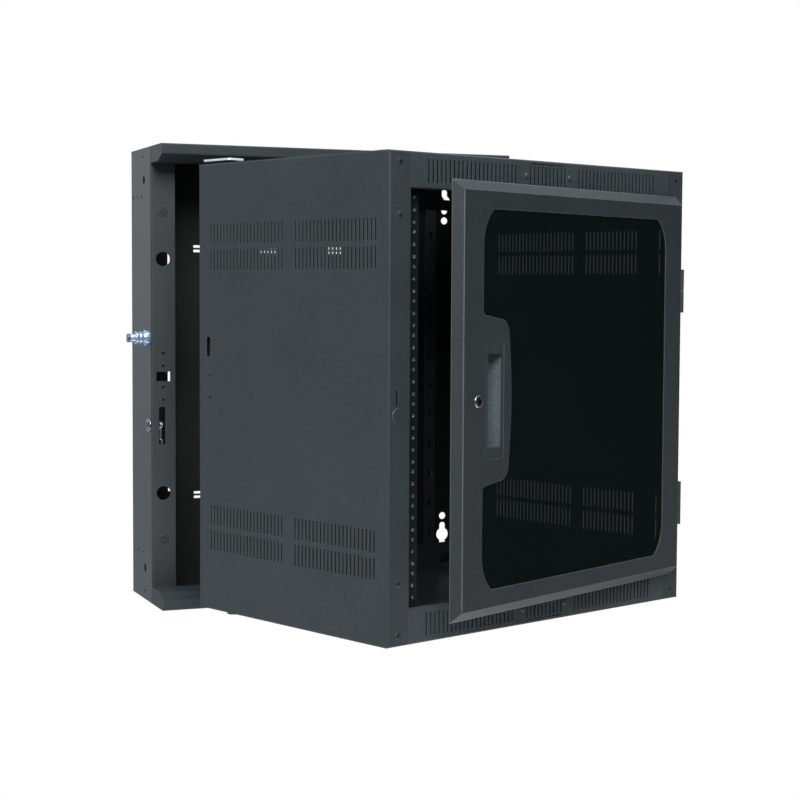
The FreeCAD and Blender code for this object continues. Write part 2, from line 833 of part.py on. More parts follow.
def rail_feet():
    """Angle feet that tie the rails to the lid and the floor."""
    web_x = -rail_outer_x + rail_sheet
    lid = cabinet_top - sheet
    outline = [(web_x, lid - foot_height), (web_x, lid), (web_x + foot_width, lid)]
    mirrored = [(x, z) for x, z in reversed(outline)]
    foot = sharp_fold(mirrored, rail_sheet, in_front_view, ALONG_Y * foot_depth)
    foot.translate(ALONG_Y * (front_plane + rail_setback + 2 * rail_sheet + bend))
    return Part.makeCompound(four_ways(foot))


def corner_block(z_range, margin):
    """Block over the cabinet's right rear corner, bored for the pivot."""
    x_range = [cabinet_half - inset for inset in plate_from_side]
    y_range = [rear_plane - inset for inset in plate_from_rear]
    x_range = (min(x_range) + margin, max(x_range) - margin)
    y_range = (min(y_range) + margin, max(y_range) - margin)
    block = box(x_range, y_range, z_range)
    hole = rod(Vector(pivot.x, pivot.y, min(z_range)), ALONG_Z, pivot_radius, plate_thickness + spacer_height)
    return block.cut(hole)


def pivot_plates():
    """Bright plates on the lid's rear corners, either of which can take the pivot pin."""
    low = cabinet_top + spacer_height
    plate = corner_block((low, low + plate_thickness), 0)
    upright = [edge for edge in plate.Edges if edge.BoundBox.ZLength > plate_thickness / 2
               and edge.BoundBox.XLength < sheet]
    return Part.makeCompound(both_sides([plate.makeChamfer(plate_thickness, upright)]))


def pivot_spacers():
    spacer = corner_block((cabinet_top, cabinet_top + spacer_height), spacer_margin)
    return Part.makeCompound(both_sides([spacer]))


def lower_pivot_plate():
    """Plate inside the cabinet's floor that turns on the lower pin."""
    floor = -cabinet_top + sheet
    plate = corner_block((floor, floor + plate_thickness), spacer_margin)
    hole = rod(Vector(pivot.x, pivot.y, floor), ALONG_Z, pivot_radius + running_clearance, plate_thickness)
    return plate.cut(hole)


def upper_pivot_pin():
    """Drop pin from the cabinet's lid up into the top header."""
    lid = cabinet_top - sheet
    top = header_underside_local + pin_rise
    profile = [(lid - pin_head_height, 0), (lid - pin_head_height, pin_head_radius)]
    profile += [(lid, pin_head_radius), (lid, pivot_radius), (top, pivot_radius), (top, 0)]
    return revolved(profile, Vector(pivot.x, pivot.y, 0), ALONG_Z)


def glides():
    """Low buttons under the cabinet that steady it on the bottom header."""
    place = Vector(cabinet_half - glide_from_side, rear_plane - glide_from_rear, -cabinet_top)
    glide = Part.makeCone(glide_radius, glide_foot_radius, glide_height, place, ALONG_Z * -1)
    return Part.makeCompound(both_sides([glide]))


def latch_keeper():
    """Tongue that reaches back past the pan's flange and takes the latch bolt."""
    inside = rear_plane - sheet
    outline = [(keeper_foot_x, inside), (keeper_x, inside), (keeper_x, -keeper_reach)]
    turned = [(x, y) for x, y in reversed(outline)]
    height = 2 * keeper_half_height
    keeper = sharp_fold(turned, keeper_thickness, in_plan, ALONG_Z * height)
    center_z = latch_z + cabinet_drop
    keeper.translate(ALONG_Z * (center_z - keeper_half_height))
    start = Vector(keeper_x - 2 * keeper_thickness, latch_y, center_z)
    return keeper.cut(rod(start, ALONG_X, keeper_hole_radius, 4 * keeper_thickness))


# Door hinges: the cabinet's knuckles stand below, the door's knuckles lift off

def frame_hinge(center_z):
    """Cabinet half of a hinge: leaf on the column, knuckle and the web between them."""
    top = center_z - hinge_split / 2
    base = top - hinge_height
    knuckle = rod(Vector(door_axis.x, door_axis.y, base), ALONG_Z, knuckle_radius, hinge_height)
    z_range = (base, top)
    leaf_y = (front_plane - hinge_leaf, front_plane)
    leaf = box((hinge_x - hinge_web, hinge_leaf_right), leaf_y, z_range)
    web = box((hinge_x - hinge_web, hinge_x + hinge_web), (door_axis.y, front_plane), z_range)
    half = knuckle.fuse([leaf, web]).removeSplitter()
    return half.cut(rod(Vector(door_axis.x, door_axis.y, base), ALONG_Z, hinge_pin_radius, hinge_height))


def door_hinge(center_z):
    """Door half of a hinge: leaf on the door's edge and its knuckle."""
    base = center_z + hinge_split / 2
    knuckle = rod(Vector(door_axis.x, door_axis.y, base), ALONG_Z, knuckle_radius, hinge_height)
    leaf_y = (door_face + sheet, door_rear - sheet)
    leaf = box((door_right, door_right + hinge_leaf), leaf_y, (base, base + hinge_height))
    half = knuckle.fuse(leaf).removeSplitter()
    bore = hinge_pin_radius + running_clearance
    return half.cut(rod(Vector(door_axis.x, door_axis.y, base), ALONG_Z, bore, hinge_height))


def hinge_pins():
    length = 2 * hinge_height - hinge_leaf
    pins = []
    for center_z in hinge_heights:
        start = Vector(door_axis.x, door_axis.y, center_z - hinge_split / 2 - hinge_height)
        pins.append(rod(start, ALONG_Z, hinge_pin_radius, length))
    return Part.makeCompound(pins)


# Door

def door_point(a, b):
    """Point on the door's face, measured from the door's left edge and middle."""
    return Vector(door_left + a, door_face, b)


def door_ring(y, inset, right_inset):
    """Rectangle of the door at one depth, drawn in on three sides; the hinge side has its own inset."""
    half = door_height / 2 - inset
    return y, (door_left + inset, door_right - right_inset), (-half, half)


def window_outline():
    """Window opening: arcs tangent to its sides, and the handle bulge on the left."""
    sweep = math.radians(window_arc_sweep)
    tangent_z = window_half_height - window_arc * math.sin(sweep)
    inset = window_arc * (1 - math.cos(sweep))
    mid_inset = window_arc * (1 - math.cos(sweep / 2))
    mid_z = tangent_z + window_arc * math.sin(sweep / 2)
    edges = []
    for side in (1, -1):
        left_end = door_point(window_left + inset, side * window_half_height)
        right_end = door_point(window_right - inset, side * window_half_height)
        left_middle = door_point(window_left + mid_inset, side * mid_z)
        right_middle = door_point(window_right - mid_inset, side * mid_z)
        left_start = door_point(window_left, side * tangent_z)
        right_start = door_point(window_right, side * tangent_z)
        edges.append(line(left_end, right_end))
        edges.append(Part.Arc(left_start, left_middle, left_end).toShape())
        edges.append(Part.Arc(right_start, right_middle, right_end).toShape())
    edges.append(line(door_point(window_right, tangent_z), door_point(window_right, -tangent_z)))
    upper = [(window_left, tangent_z), (window_left, bulge_root), (bulge_right, bulge_shoulder)]
    side_points = upper + [(bulge_peak, 0)] + [(a, -b) for a, b in reversed(upper)]
    radii = [bulge_root_fillet, bulge_corner, bulge_side_radius, bulge_corner, bulge_root_fillet]
    shifted = [(door_left + a, b) for a, b in side_points]
    side_edges = path_edges(shifted, radii, in_front_view)
    for edge in side_edges:
        edge.translate(ALONG_Y * door_face)
    return Part.Wire(Part.__sortEdges__(edges + side_edges))


def door_frame():
    """Bevelled steel front: a hollow frustum opened for the window, pull cup and lock."""
    slope = bevel / door_depth
    wall_inset = sheet * math.hypot(1, slope)
    outer = tapered_block(door_ring(door_face, bevel, 0), door_ring(door_rear, 0, 0))
    open_y = door_rear + sheet
    inner_face = door_face + sheet
    open_inset = wall_inset - sheet * slope
    face_inset = wall_inset + (door_depth - sheet) * slope
    hollow = tapered_block(door_ring(inner_face, face_inset, sheet), door_ring(open_y, open_inset, sheet))
    shell = outer.cut(hollow)
    through = ALONG_Y * (3 * sheet)
    window = Part.Face(window_outline()).extrude(through)
    window.translate(ALONG_Y * -sheet)
    cup_x = (door_left + cup_left, door_left + cup_right)
    mouth = box(cup_x, (door_face - sheet, door_face + 2 * sheet), (-cup_half_height, cup_half_height))
    start = door_point(door_lock_x, 0) - ALONG_Y * sheet
    lock_hole = rod(start, ALONG_Y, door_body_radius, 3 * sheet)
    return shell.cut([window, mouth, lock_hole])


def door_window():
    """Smoked pane seated behind the opening, following its outline."""
    grown = Part.Face(window_outline()).makeOffset2D(pane_overlap)
    pane = grown.extrude(ALONG_Y * pane_thickness)
    pane.translate(ALONG_Y * sheet)
    return pane


def window_clips():
    """Joggled clips that press the pane against the frame, round its edge."""
    frame_y = door_face + sheet
    lip = clip_inset / 2
    pane_y = frame_y + pane_thickness
    outline = [(-clip_inset, pane_y), (lip, pane_y), (lip, frame_y), (clip_reach, frame_y)]
    middle = (window_left + window_right) / 2
    far = (window_right - window_left) / 3
    top = window_half_height + pane_overlap
    spots = []
    for a in (middle - far, middle, middle + far):
        spots += [(a, top, 90), (a, -top, 270)]
    half = window_half_height / 2
    spots += [(window_right + pane_overlap, half, 0), (window_right + pane_overlap, -half, 0)]
    low = (window_half_height + bulge_root) / 2
    spots += [(window_left - pane_overlap, low, 180), (window_left - pane_overlap, -low, 180)]
    clips = []
    for a, b, angle in spots:
        clip = sharp_fold(outline, clip_sheet, in_plan, ALONG_Z * clip_width)
        clip.translate(ALONG_Z * (-clip_width / 2))
        clip.rotate(Vector(), ALONG_Y, -angle)
        clip.translate(Vector(door_left + a, 0, b))
        clips.append(clip)
    return Part.makeCompound(clips)


def cup_ring(y, left, right, half):
    """Rectangle of the pull cup at one depth."""
    return y, (door_left + left, door_left + right), (-half, half)


def pull_cup():
    """Drawn finger pull: a pocket with sloping ends and a rim behind the frame."""
    back = door_face + sheet
    floor_y = door_face + cup_depth
    floor = (cup_floor_left, cup_floor_right, cup_floor_half)
    grown_floor = (cup_floor_left - cup_wall, cup_floor_right + cup_wall, cup_floor_half + cup_wall)
    mouth = (cup_left, cup_right, cup_half_height)
    grown_mouth = (cup_left - cup_wall, cup_right + cup_wall, cup_half_height + cup_wall)
    hollow = tapered_block(cup_ring(back, *mouth), cup_ring(floor_y, *floor))
    shell = tapered_block(cup_ring(back, *grown_mouth), cup_ring(floor_y + cup_wall, *grown_floor))
    rim_x = (door_left + cup_left - cup_rim, door_left + cup_right + cup_rim)
    rim_z = (-cup_half_height - cup_rim, cup_half_height + cup_rim)
    rim = box(rim_x, (back, back + cup_wall), rim_z)
    return shell.fuse(rim).removeSplitter().cut(hollow)


door_lock_seat = door_point(door_lock_x, 0)
door_lock_back = sheet + door_body_length


def door_lock_body():
    bezel = (door_bezel_radius, door_bezel_height)
    body = (door_body_radius, door_body_length - running_clearance)
    return lock_barrel(door_lock_seat, ALONG_Y, bezel, body, sheet, door_plug_radius + running_clearance)


def door_lock_nut():
    start = door_lock_seat + ALONG_Y * sheet
    return nut(start, ALONG_Y, door_nut_across, door_nut_height, door_body_radius)


def door_lock_plug():
    return lock_plug(door_lock_seat, ALONG_Y, door_bezel_height, door_lock_back, door_plug_radius)


def door_lock_cam():
    """Flat cam, pointing down when unlocked; a quarter turn takes it behind the column."""
    half = door_cam_half_width
    outline = [(-half, 0), (-half, -door_cam_length), (half, -door_cam_length), (half, 0)]
    arm = prism(outline, in_front_view, ALONG_Y * door_cam_thickness)
    hub = rod(Vector(), ALONG_Y, half, door_cam_thickness)
    cam = arm.fuse(hub).removeSplitter()
    cam = cam.cut(small_hole(Vector(), ALONG_Y, screw_shank_radius, door_cam_thickness))
    cam.translate(door_lock_seat + ALONG_Y * door_lock_back)
    return cam


def door_lock_screw():
    seat = door_lock_seat + ALONG_Y * (door_lock_back + door_cam_thickness)
    return screw(seat, ALONG_Y * -1, cam_screw_radius, cam_screw_height, door_cam_thickness)


# Assembly: every piece is made closed, then stood in the pose

left_panel = left_side_panel()
left_rail = left_rack_rail()
lid = top_panel()
top_header = pan_top_header()

pan_pieces = {
    "pan_tray": pan_tray(),
    "pan_top_header": top_header,
    "pan_bottom_header": mirrored_z(top_header),
    "lacing_bar": lacing_bar(),
    "lacing_bar_screws": lacing_bar_screws(),
    "lower_pivot_pin": lower_pivot_pin(),
    "pan_nuts": pan_nuts(),
    "pan_lock_body": pan_lock_body(),
    "pan_lock_plug": pan_lock_plug(),
    "pan_lock_hook": pan_lock_hook(),
    "pan_lock_screw": pan_lock_screw(),
    "latch_sleeve": latch_sleeve(),
    "latch_plunger": latch_plunger(),
    "latch_spring": latch_spring(),
}

cabinet_pieces = {
    "left_side_panel": left_panel,
    "right_side_panel": mirrored_x(left_panel),
    "top_panel": lid,
    "bottom_panel": mirrored_z(lid),
    "left_rack_rail": left_rail,
    "right_rack_rail": mirrored_x(left_rail),
    "rail_feet": rail_feet(),
    "column_screws": column_screws(),
    "strip_screws": strip_screws(),
    "pivot_plates": pivot_plates(),
    "pivot_spacers": pivot_spacers(),
    "lower_pivot_plate": lower_pivot_plate(),
    "upper_pivot_pin": upper_pivot_pin(),
    "glides": glides(),
    "latch_keeper": latch_keeper(),
    "frame_hinges": Part.makeCompound([frame_hinge(z) for z in hinge_heights]),
    "hinge_pins": hinge_pins(),
}

door_pieces = {
    "door_frame": door_frame(),
    "door_window": door_window(),
    "window_clips": window_clips(),
    "pull_cup": pull_cup(),
    "door_hinges": Part.makeCompound([door_hinge(z) for z in hinge_heights]),
    "door_lock_body": door_lock_body(),
    "door_lock_nut": door_lock_nut(),
    "door_lock_plug": door_lock_plug(),
    "door_lock_cam": door_lock_cam(),
    "door_lock_screw": door_lock_screw(),
}


def posed(shape, swings):
    """Turn a piece about each vertical axis in order, then let the cabinet sit at its height."""
    piece = shape.copy()
    for axis_point, angle in swings:
        piece.rotate(axis_point, ALONG_Z, angle)
    if swings:
        piece.translate(ALONG_Z * -cabinet_drop)
    return piece


os.makedirs("parts", exist_ok=True)
cabinet_swings = [(pivot, cabinet_open)]
door_swings = [(door_axis, door_open), (pivot, cabinet_open)]
sections = [(pan_pieces, []), (cabinet_pieces, cabinet_swings), (door_pieces, door_swings)]
for pieces, swings in sections:
    for node, shape in pieces.items():
        posed(shape, swings).exportStep("parts/" + node + ".step")
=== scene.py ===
import json
import math

import bmesh
import bpy
from mathutils import Matrix, Vector


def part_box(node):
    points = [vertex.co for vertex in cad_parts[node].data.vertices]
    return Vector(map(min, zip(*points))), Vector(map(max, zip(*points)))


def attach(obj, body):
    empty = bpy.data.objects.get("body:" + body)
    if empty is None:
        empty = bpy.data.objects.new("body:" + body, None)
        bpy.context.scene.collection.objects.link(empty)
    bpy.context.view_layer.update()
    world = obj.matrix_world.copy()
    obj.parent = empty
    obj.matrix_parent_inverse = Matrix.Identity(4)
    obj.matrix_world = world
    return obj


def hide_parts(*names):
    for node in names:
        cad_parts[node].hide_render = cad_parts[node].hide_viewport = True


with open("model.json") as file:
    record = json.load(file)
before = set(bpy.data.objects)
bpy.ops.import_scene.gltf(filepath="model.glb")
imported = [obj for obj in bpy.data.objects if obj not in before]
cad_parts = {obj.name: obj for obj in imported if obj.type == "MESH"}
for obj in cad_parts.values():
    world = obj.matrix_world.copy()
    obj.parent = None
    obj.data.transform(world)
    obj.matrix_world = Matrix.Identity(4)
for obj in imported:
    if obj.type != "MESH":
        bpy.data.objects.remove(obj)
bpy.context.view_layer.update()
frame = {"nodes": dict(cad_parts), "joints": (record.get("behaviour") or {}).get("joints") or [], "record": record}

bl_info = {
    "name": "Hinged Wall Rack Looks",
    "version": (1, 0, 0),
    "blender": (4, 5, 0),
    "location": "View3D > Sidebar > Rack",
    "description": "Finishes, turned hardware, fasteners and a studio for a swing-out wall rack",
    "category": "Object",
}

FRONT = Vector((0, -1, 0))
LEFT = Vector((-1, 0, 0))
RIGHT = Vector((1, 0, 0))
UP = Vector((0, 0, 1))
SIDES = (-1, 1)
CORNERS = [(side, up) for side in SIDES for up in SIDES]


# Where things are when the rack is shut, worked out from the frame

def opened(name):
    """The turn of a hinge from shut to the pose in which the rack rests."""
    hinge = next(entry for entry in frame["joints"] if entry["name"] == name)
    base = Matrix.Translation(hinge["pos_m"])
    angle = -math.radians(hinge["range_deg"][0])
    return base @ Matrix.Rotation(angle, 4, Vector(hinge["axis"])) @ base.inverted()


def cabinet_rest():
    """How the cabinet stands at rest: swung open, and lowered on its pivots."""
    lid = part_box("top_panel")[1].z
    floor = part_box("bottom_panel")[0].z
    return Matrix.Translation((0, 0, (lid + floor) / 2)) @ opened("cabinet_swing")


CABINET_REST = cabinet_rest()
DOOR_REST = opened("door_swing") @ CABINET_REST
RESTS = {"back_pan": Matrix(), "cabinet": CABINET_REST, "door": DOOR_REST}


def shut_points(node, rest):
    """Every point of a node's mesh with its hinges shut."""
    back = rest.inverted()
    return [back @ vertex.co for vertex in frame["nodes"][node].data.vertices]


def shut_box(node, rest):
    """Lowest and highest corner of a node with its hinges shut."""
    spots = shut_points(node, rest)
    low = Vector(min(spot[axis] for spot in spots) for axis in range(3))
    high = Vector(max(spot[axis] for spot in spots) for axis in range(3))
    return low, high


PAN_LOW, PAN_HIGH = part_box("pan_tray")
CABINET_LOW = shut_box("left_side_panel", CABINET_REST)[0]
RAIL_LOW = shut_box("left_rack_rail", CABINET_REST)[0]
DOOR_LOW, DOOR_HIGH = shut_box("door_frame", DOOR_REST)
BAR_LOW, BAR_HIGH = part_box("lacing_bar")
BAR_MIDDLE = (BAR_LOW.x + BAR_HIGH.x) / 2


# Sizes and colours a user may change

def length(label, words, value):
    """A length in metres."""
    return bpy.props.FloatProperty(name=label, description=words, default=value, min=0.0,
                                   unit="LENGTH", subtype="DISTANCE", precision=5)


def share(label, words, value):
    """A number from nought to one."""
    return bpy.props.FloatProperty(name=label, description=words, default=value,
                                   min=0.0, max=1.0, subtype="FACTOR")


def shade(label, words, value):
    """A colour in linear light."""
    return bpy.props.FloatVectorProperty(name=label, description=words, default=value,
                                         min=0.0, max=1.0, size=3, subtype="COLOR")


def degrees(label, words, value):
    """An angle, written in degrees."""
    return bpy.props.FloatProperty(name=label, description=words, default=math.radians(value),
                                   unit="ROTATION", subtype="ANGLE")


def power(label, words, watts):
    """The power of a lamp."""
    return bpy.props.FloatProperty(name=label, description=words, default=watts, min=0.0,
                                   unit="POWER")


class RackFinishes(bpy.types.PropertyGroup):
    """Colours and textures of the finishes."""
    coat_dark: shade("Coat, dark", "Powder coat in its darker patches", (0.0255, 0.0325, 0.0368))
    coat_light: shade("Coat, light", "Powder coat in its lighter patches", (0.0385, 0.0490, 0.0555))
    # The worn colour also serves as a painted highlight along rounded edges.
    coat_worn_and_highlit: shade("Coat, worn", "Powder coat where edges are rubbed", (0.125, 0.142, 0.152))
    coat_rough: share("Coat roughness", "Roughness of the powder coat", 0.46)
    coat_grain: length("Coat grain", "Width of the powder coat's grain", 0.0011)
    coat_depth: length("Coat depth", "Height of the powder coat's grain", 0.00012)
    coat_cloud: length("Coat cloud", "Width of the powder coat's soft patches", 0.11)
    coat_fleck: length("Coat fleck", "Width of the powder coat's flecks", 0.0026)
    # painted shade: the two lengths below set where the pan's back starts to darken towards the wall and where it
    # is darkest
    painted_shade_near: length("Back near", "Where the pan begins to darken, off the wall", 0.006)
    painted_shade_far: length("Back far", "Where the pan is darkest, off the wall", 0.003)
    fold_round: length("Fold rounding", "Rounding that sheet edges show", 0.0007)
    door_round: length("Door rounding", "Rounding that the door's edges show", 0.0011)
    plate_round: length("Plate rounding", "Rounding that plated edges show", 0.0003)
    plate_cloud: length("Plate cloud", "Width of the soft patches on plate", 0.006)
    plate_wear: length("Plate wear", "Width of the fine wear on plate", 0.0006)
    plate_depth: length("Plate depth", "Height of the fine wear on plate", 0.00004)
    chrome: shade("Bright plate", "Colour of the bright plated locks", (0.32, 0.33, 0.37))
    blued: shade("Blued plate", "Colour of the latch's sleeve and bolt", (0.50, 0.67, 0.98))
    cap_steel: shade("Cap steel", "Colour of the latch plunger's cap", (0.20, 0.21, 0.25))
    # Also painted shade in the recesses of the column screws.
    blacked_and_shade: shade("Blacked plate", "Colour of the black screws and recesses", (0.030, 0.032, 0.035))
    zinc: shade("Zinc", "Colour of the zinc plated steel", (0.56, 0.575, 0.59))
    # Lighter than bare zinc: painted sheen on the pivot plates and painted glints on the rail threads, beside
    # their real metal reflection.
    galvanised_and_painted_sheen: shade("Galvanised", "Colour of the pivot plates and rail threads", (0.90, 0.92, 0.93))
    key_plug: shade("Key plug", "Colour of the dark lock plugs", (0.055, 0.058, 0.066))
    nylon: shade("Nylon", "Colour of the glides and spacers", (0.016, 0.017, 0.019))
    nylon_grain: length("Nylon grain", "Width of the nylon's grain", 0.0007)
    nylon_cloud: length("Nylon cloud", "Width of the nylon's soft patches", 0.012)
    nylon_depth: length("Nylon depth", "Height of the nylon's grain", 0.0001)
    smoke: shade("Smoke", "Colour of the smoked window", (0.0040, 0.0068, 0.0068))
    smoke_depth: share("Smoke depth", "How much each face of the window hides", 0.84)
    smoke_film: length("Smoke film", "Width of the faint film on the window", 0.16)
    smoke_dust: length("Smoke dust", "Width of the dust on the window", 0.0016)


class RackFasteners(bpy.types.PropertyGroup):
    """Sizes of what is driven, tapped or stamped."""
    column_screw_out: length("Column screw out", "Column screws from the middle", 0.275)
    column_screw_high: length("Column screw high", "Outer column screws from mid-height", 0.3035)
    column_screw_low: length("Column screw low", "Inner column screws from mid-height", 0.2355)
    column_head: length("Column screw head", "Radius of the flat column screw heads", 0.0048)
    column_head_height: length("Column head height", "Height of the flat heads", 0.0005)
    # painted shade: a dark disc on each column screw head stands in for its shaded recess
    column_recess_shade: length("Column recess", "Radius of the dark recess of a column screw", 0.0019)
    recess_shade_stand: length("Recess stand", "How far the shown recess stands proud", 0.0003)
    strip_screw_out: length("Strip screw out", "Strip screws from the middle", 0.0425)
    strip_screw_high: length("Strip screw high", "Strip screws from mid-height", 0.296)
    strip_head: length("Strip screw head", "Radius of the domed strip screw heads", 0.0042)
    strip_head_height: length("Strip head height", "Height of the domed heads", 0.0022)
    bar_screw_high: length("Bar screw high", "Lacing bar screws from mid-height", 0.316)
    bar_screw_seat: length("Bar screw seat", "Seat of the lacing bar screws off the wall", 0.0035)
    bar_grip: length("Bar screw grip", "Length of the lacing bar screws", 0.002)
    shank: length("Shank", "Radius of the screw shanks", 0.002)
    shank_length: length("Shank length", "Length of the screw shanks", 0.008)
    rack_unit: length("Rack unit", "Height of one rack unit", 0.04445)
    rack_units: bpy.props.IntProperty(name="Rack units", description="Rack units on a rail",
                                      default=12, min=1)
    unit_pitch: length("Unit pitch", "Outer holes of a unit from its middle hole", 0.015875)
    rail_hole_out: length("Rail hole out", "Rail holes from the middle", 0.23255)
    thread_ring: length("Thread ring", "Radius of the bright ring in a tapped hole", 0.00165)
    thread_wire: length("Thread wire", "Radius of that ring's wire", 0.00045)
    thread_sink: length("Thread sink", "Middle of that ring behind the rail's face", 0.0015)
    rim_ring: length("Rim ring", "Radius of the coated rim of a small hole", 0.00245)
    rim_wire: length("Rim wire", "Radius of that rim's wire", 0.0003)
    flange_hole_out: length("Flange hole out", "Flange holes from the middle", 0.268)
    bar_hole_pitch: length("Bar hole pitch", "Pitch of the lacing bar's holes", 0.0254)
    flange_disc: length("Flange disc", "Radius of the flange knockouts", 0.00825)
    flange_disc_high: length("Flange disc high", "Flange knockouts from mid-height", 0.2527)
    column_disc: length("Column disc", "Radius of the column knockouts", 0.0118)
    column_disc_out: length("Column disc out", "Column knockouts from the middle", 0.276)
    column_disc_down: length("Column disc down", "Column knockouts below mid-height", 0.0198)
    disc_stand: length("Disc stand", "How far a knockout stands proud", 0.0008)


class RackTurnings(bpy.types.PropertyGroup):
    """Sizes of the lathe-turned latch and locks."""
    easing: length("Easing", "Rounding of turned corners", 0.0006)
    sleeve: length("Sleeve", "Radius of the latch sleeve", 0.010)
    sleeve_flange: length("Sleeve flange", "Height of the sleeve's flange", 0.0073)
    sleeve_band: length("Sleeve band", "Radius in the sleeve's ring grooves", 0.0090)
    band_width: length("Band width", "Width of a ring groove", 0.0028)
    band_near: length("Band near", "Ring groove next to the flange, from the flange", 0.0009)
    band_far: length("Band far", "Ring groove near the mouth, from the flange", 0.0075)
    sleeve_neck: length("Sleeve neck", "Radius of the neck through the pan", 0.0085)
    sleeve_bore: length("Sleeve bore", "Radius of the bore for the plunger", 0.00705)
    sleeve_floor: length("Sleeve floor", "Floor of the bore inside the pan", 0.005)
    bolt_bore: length("Bolt bore", "Radius of the bore for the bolt", 0.00405)
    plunger_cap: length("Plunger cap", "Radius of the plunger's cap", 0.0067)
    plunger_groove: length("Plunger groove", "Radius of the groove under the cap", 0.0060)
    plunger_head: length("Plunger head", "Radius of the plunger's head", 0.0070)
    plunger_bolt: length("Plunger bolt", "Radius of the plunger's bolt", 0.0040)
    cap_height: length("Cap height", "Height of the plunger's cap", 0.0035)
    cap_groove: length("Cap groove", "Width of the groove under the cap", 0.0028)
    head_height: length("Head height", "Height of the plunger's head", 0.0130)
    pan_body: length("Pan lock body", "Radius of the pan lock's body", 0.0080)
    pan_plug: length("Pan lock plug", "Radius of the pan lock's bore", 0.00555)
    pan_bezel: length("Pan lock bezel", "Height of the pan lock's bezel", 0.0040)
    door_body: length("Door lock body", "Radius of the door lock's body", 0.0070)
    door_plug: length("Door lock plug", "Radius of the door lock's bore", 0.00485)
    door_bezel: length("Door lock bezel", "Height of the door lock's bezel", 0.0025)
    bezel_dome: share("Bezel dome", "Share of a bezel's radius that its dome takes", 0.28)
    bezel_brow: share("Bezel brow", "Height of the dome's brow in a bezel", 0.72)
    bezel_slope: share("Bezel slope", "Share of the dome that is left at its brow", 0.3)
    bezel_foot: share("Bezel foot", "Height of the upright foot of a bezel", 0.3)


class RackShadeFrameAndBead(bpy.types.PropertyGroup):
    """Sizes of the dark frame of painted shade in the pull cup's mouth, and of the bead on the door's fold."""
    # painted shade: the sizes of the dark frame that stands in for the cup's shaded walls
    left: length("Trim left", "Mouth of the cup from the door's left edge", 0.059)
    right: length("Trim right", "Far side of the mouth from the door's left edge", 0.097)
    half: length("Trim half", "Half the height of the mouth", 0.0745)
    clearance: length("Trim clearance", "Gap round the trim plate", 0.0009)
    border: length("Trim border", "Width of the plate beside its opening", 0.0042)
    opening_half: length("Opening half", "Half the height of the plate's opening", 0.0600)
    recess: length("Trim recess", "Plate behind the door's face", 0.0004)
    thickness: length("Trim thickness", "Thickness of the plate", 0.0008)
    bead: length("Bead", "Radius of the rounded fold", 0.0016)
    bead_sink: length("Bead sink", "Middle of the rounding behind the fold", 0.00162)


class RackStudio(bpy.types.PropertyGroup):
    """The camera, the floor and the light."""
    camera_place: bpy.props.FloatVectorProperty(
        name="Camera place", description="Where the camera stands", size=3,
        default=(-0.9489, -2.7910, 0.1350), unit="LENGTH", subtype="XYZ")
    camera_yaw: degrees("Yaw", "Turn of the view to the right of straight ahead", 21.984)
    camera_pitch: degrees("Pitch", "Tilt of the view below the horizon", 3.558)
    camera_roll: degrees("Roll", "Roll of the view", -0.294)
    camera_lens: bpy.props.FloatProperty(
        name="Lens", description="Focal length in millimetres", default=79.45, min=1.0, unit="CAMERA")
    floor_drop: length("Floor drop", "Floor below the middle of the wall holes", 1.2)
    floor_reach: length("Floor reach", "Half the floor's width", 30.0)
    floor_white: share("Floor white", "How far the camera sees the near floor as white", 0.85)
    floor_near: length("Floor near", "Where the floor begins to turn white", 0.5)
    floor_far: length("Floor far", "Where the floor is white", 1.4)
    floor_behind: share("Floor behind", "How white the floor behind is in reflections", 0.5)
    floor_under: share("Floor under", "How white the floor below is in reflections", 0.7)
    paper_dark: shade("Paper, dark", "Floor in its darker patches", (0.56, 0.56, 0.56))
    paper_light: shade("Paper, light", "Floor in its lighter patches", (0.62, 0.62, 0.62))
    paper_cloud: length("Paper cloud", "Width of the floor's soft patches", 0.8)
    key_power: power("Key power", "Power of the soft key light", 134.0)
    top_power: power("Top power", "Power of the soft top light", 54.0)
    low_power: power("Low power", "Power of the soft light from the floor", 9.0)
    room_light: share("Room light", "Strength of the light from all round", 0.18)
    room_tint: shade("Room tint", "Colour of the room in reflections", (0.84, 0.93, 1.0))
    room_ceiling: share("Room ceiling", "How bright the ceiling behind is in reflections", 1.0)
    room_dark: share("Room dark", "How bright the room is away from the backdrop", 0.06)


# Node trees written as expressions

class Wire:
    """One output of a node. Arithmetic on it adds Math nodes to the same tree."""

    def __init__(self, bench, socket):
        self.bench = bench
        self.socket = socket

    def count(self, operation, first, second):
        """One Math node."""
        return self.bench.node("ShaderNodeMath", {"operation": operation}, {0: first, 1: second})

    def __add__(self, other):
        return self.count("ADD", self, other)

    def __radd__(self, other):
        return self.count("ADD", other, self)

    def __sub__(self, other):
        return self.count("SUBTRACT", self, other)

    def __rsub__(self, other):
        return self.count("SUBTRACT", other, self)

    def __mul__(self, other):
        return self.count("MULTIPLY", self, other)

    def __rmul__(self, other):
        return self.count("MULTIPLY", other, self)

    def most(self, other):
        """The greater of the two."""
        return self.count("MAXIMUM", self, other)

    def within(self, low, high):
        """Rises smoothly from nought at low to one at high."""
        return self.bench.node("ShaderNodeMapRange", {"interpolation_type": "SMOOTHSTEP"},
                               {"Value": self, "From Min": low, "From Max": high})


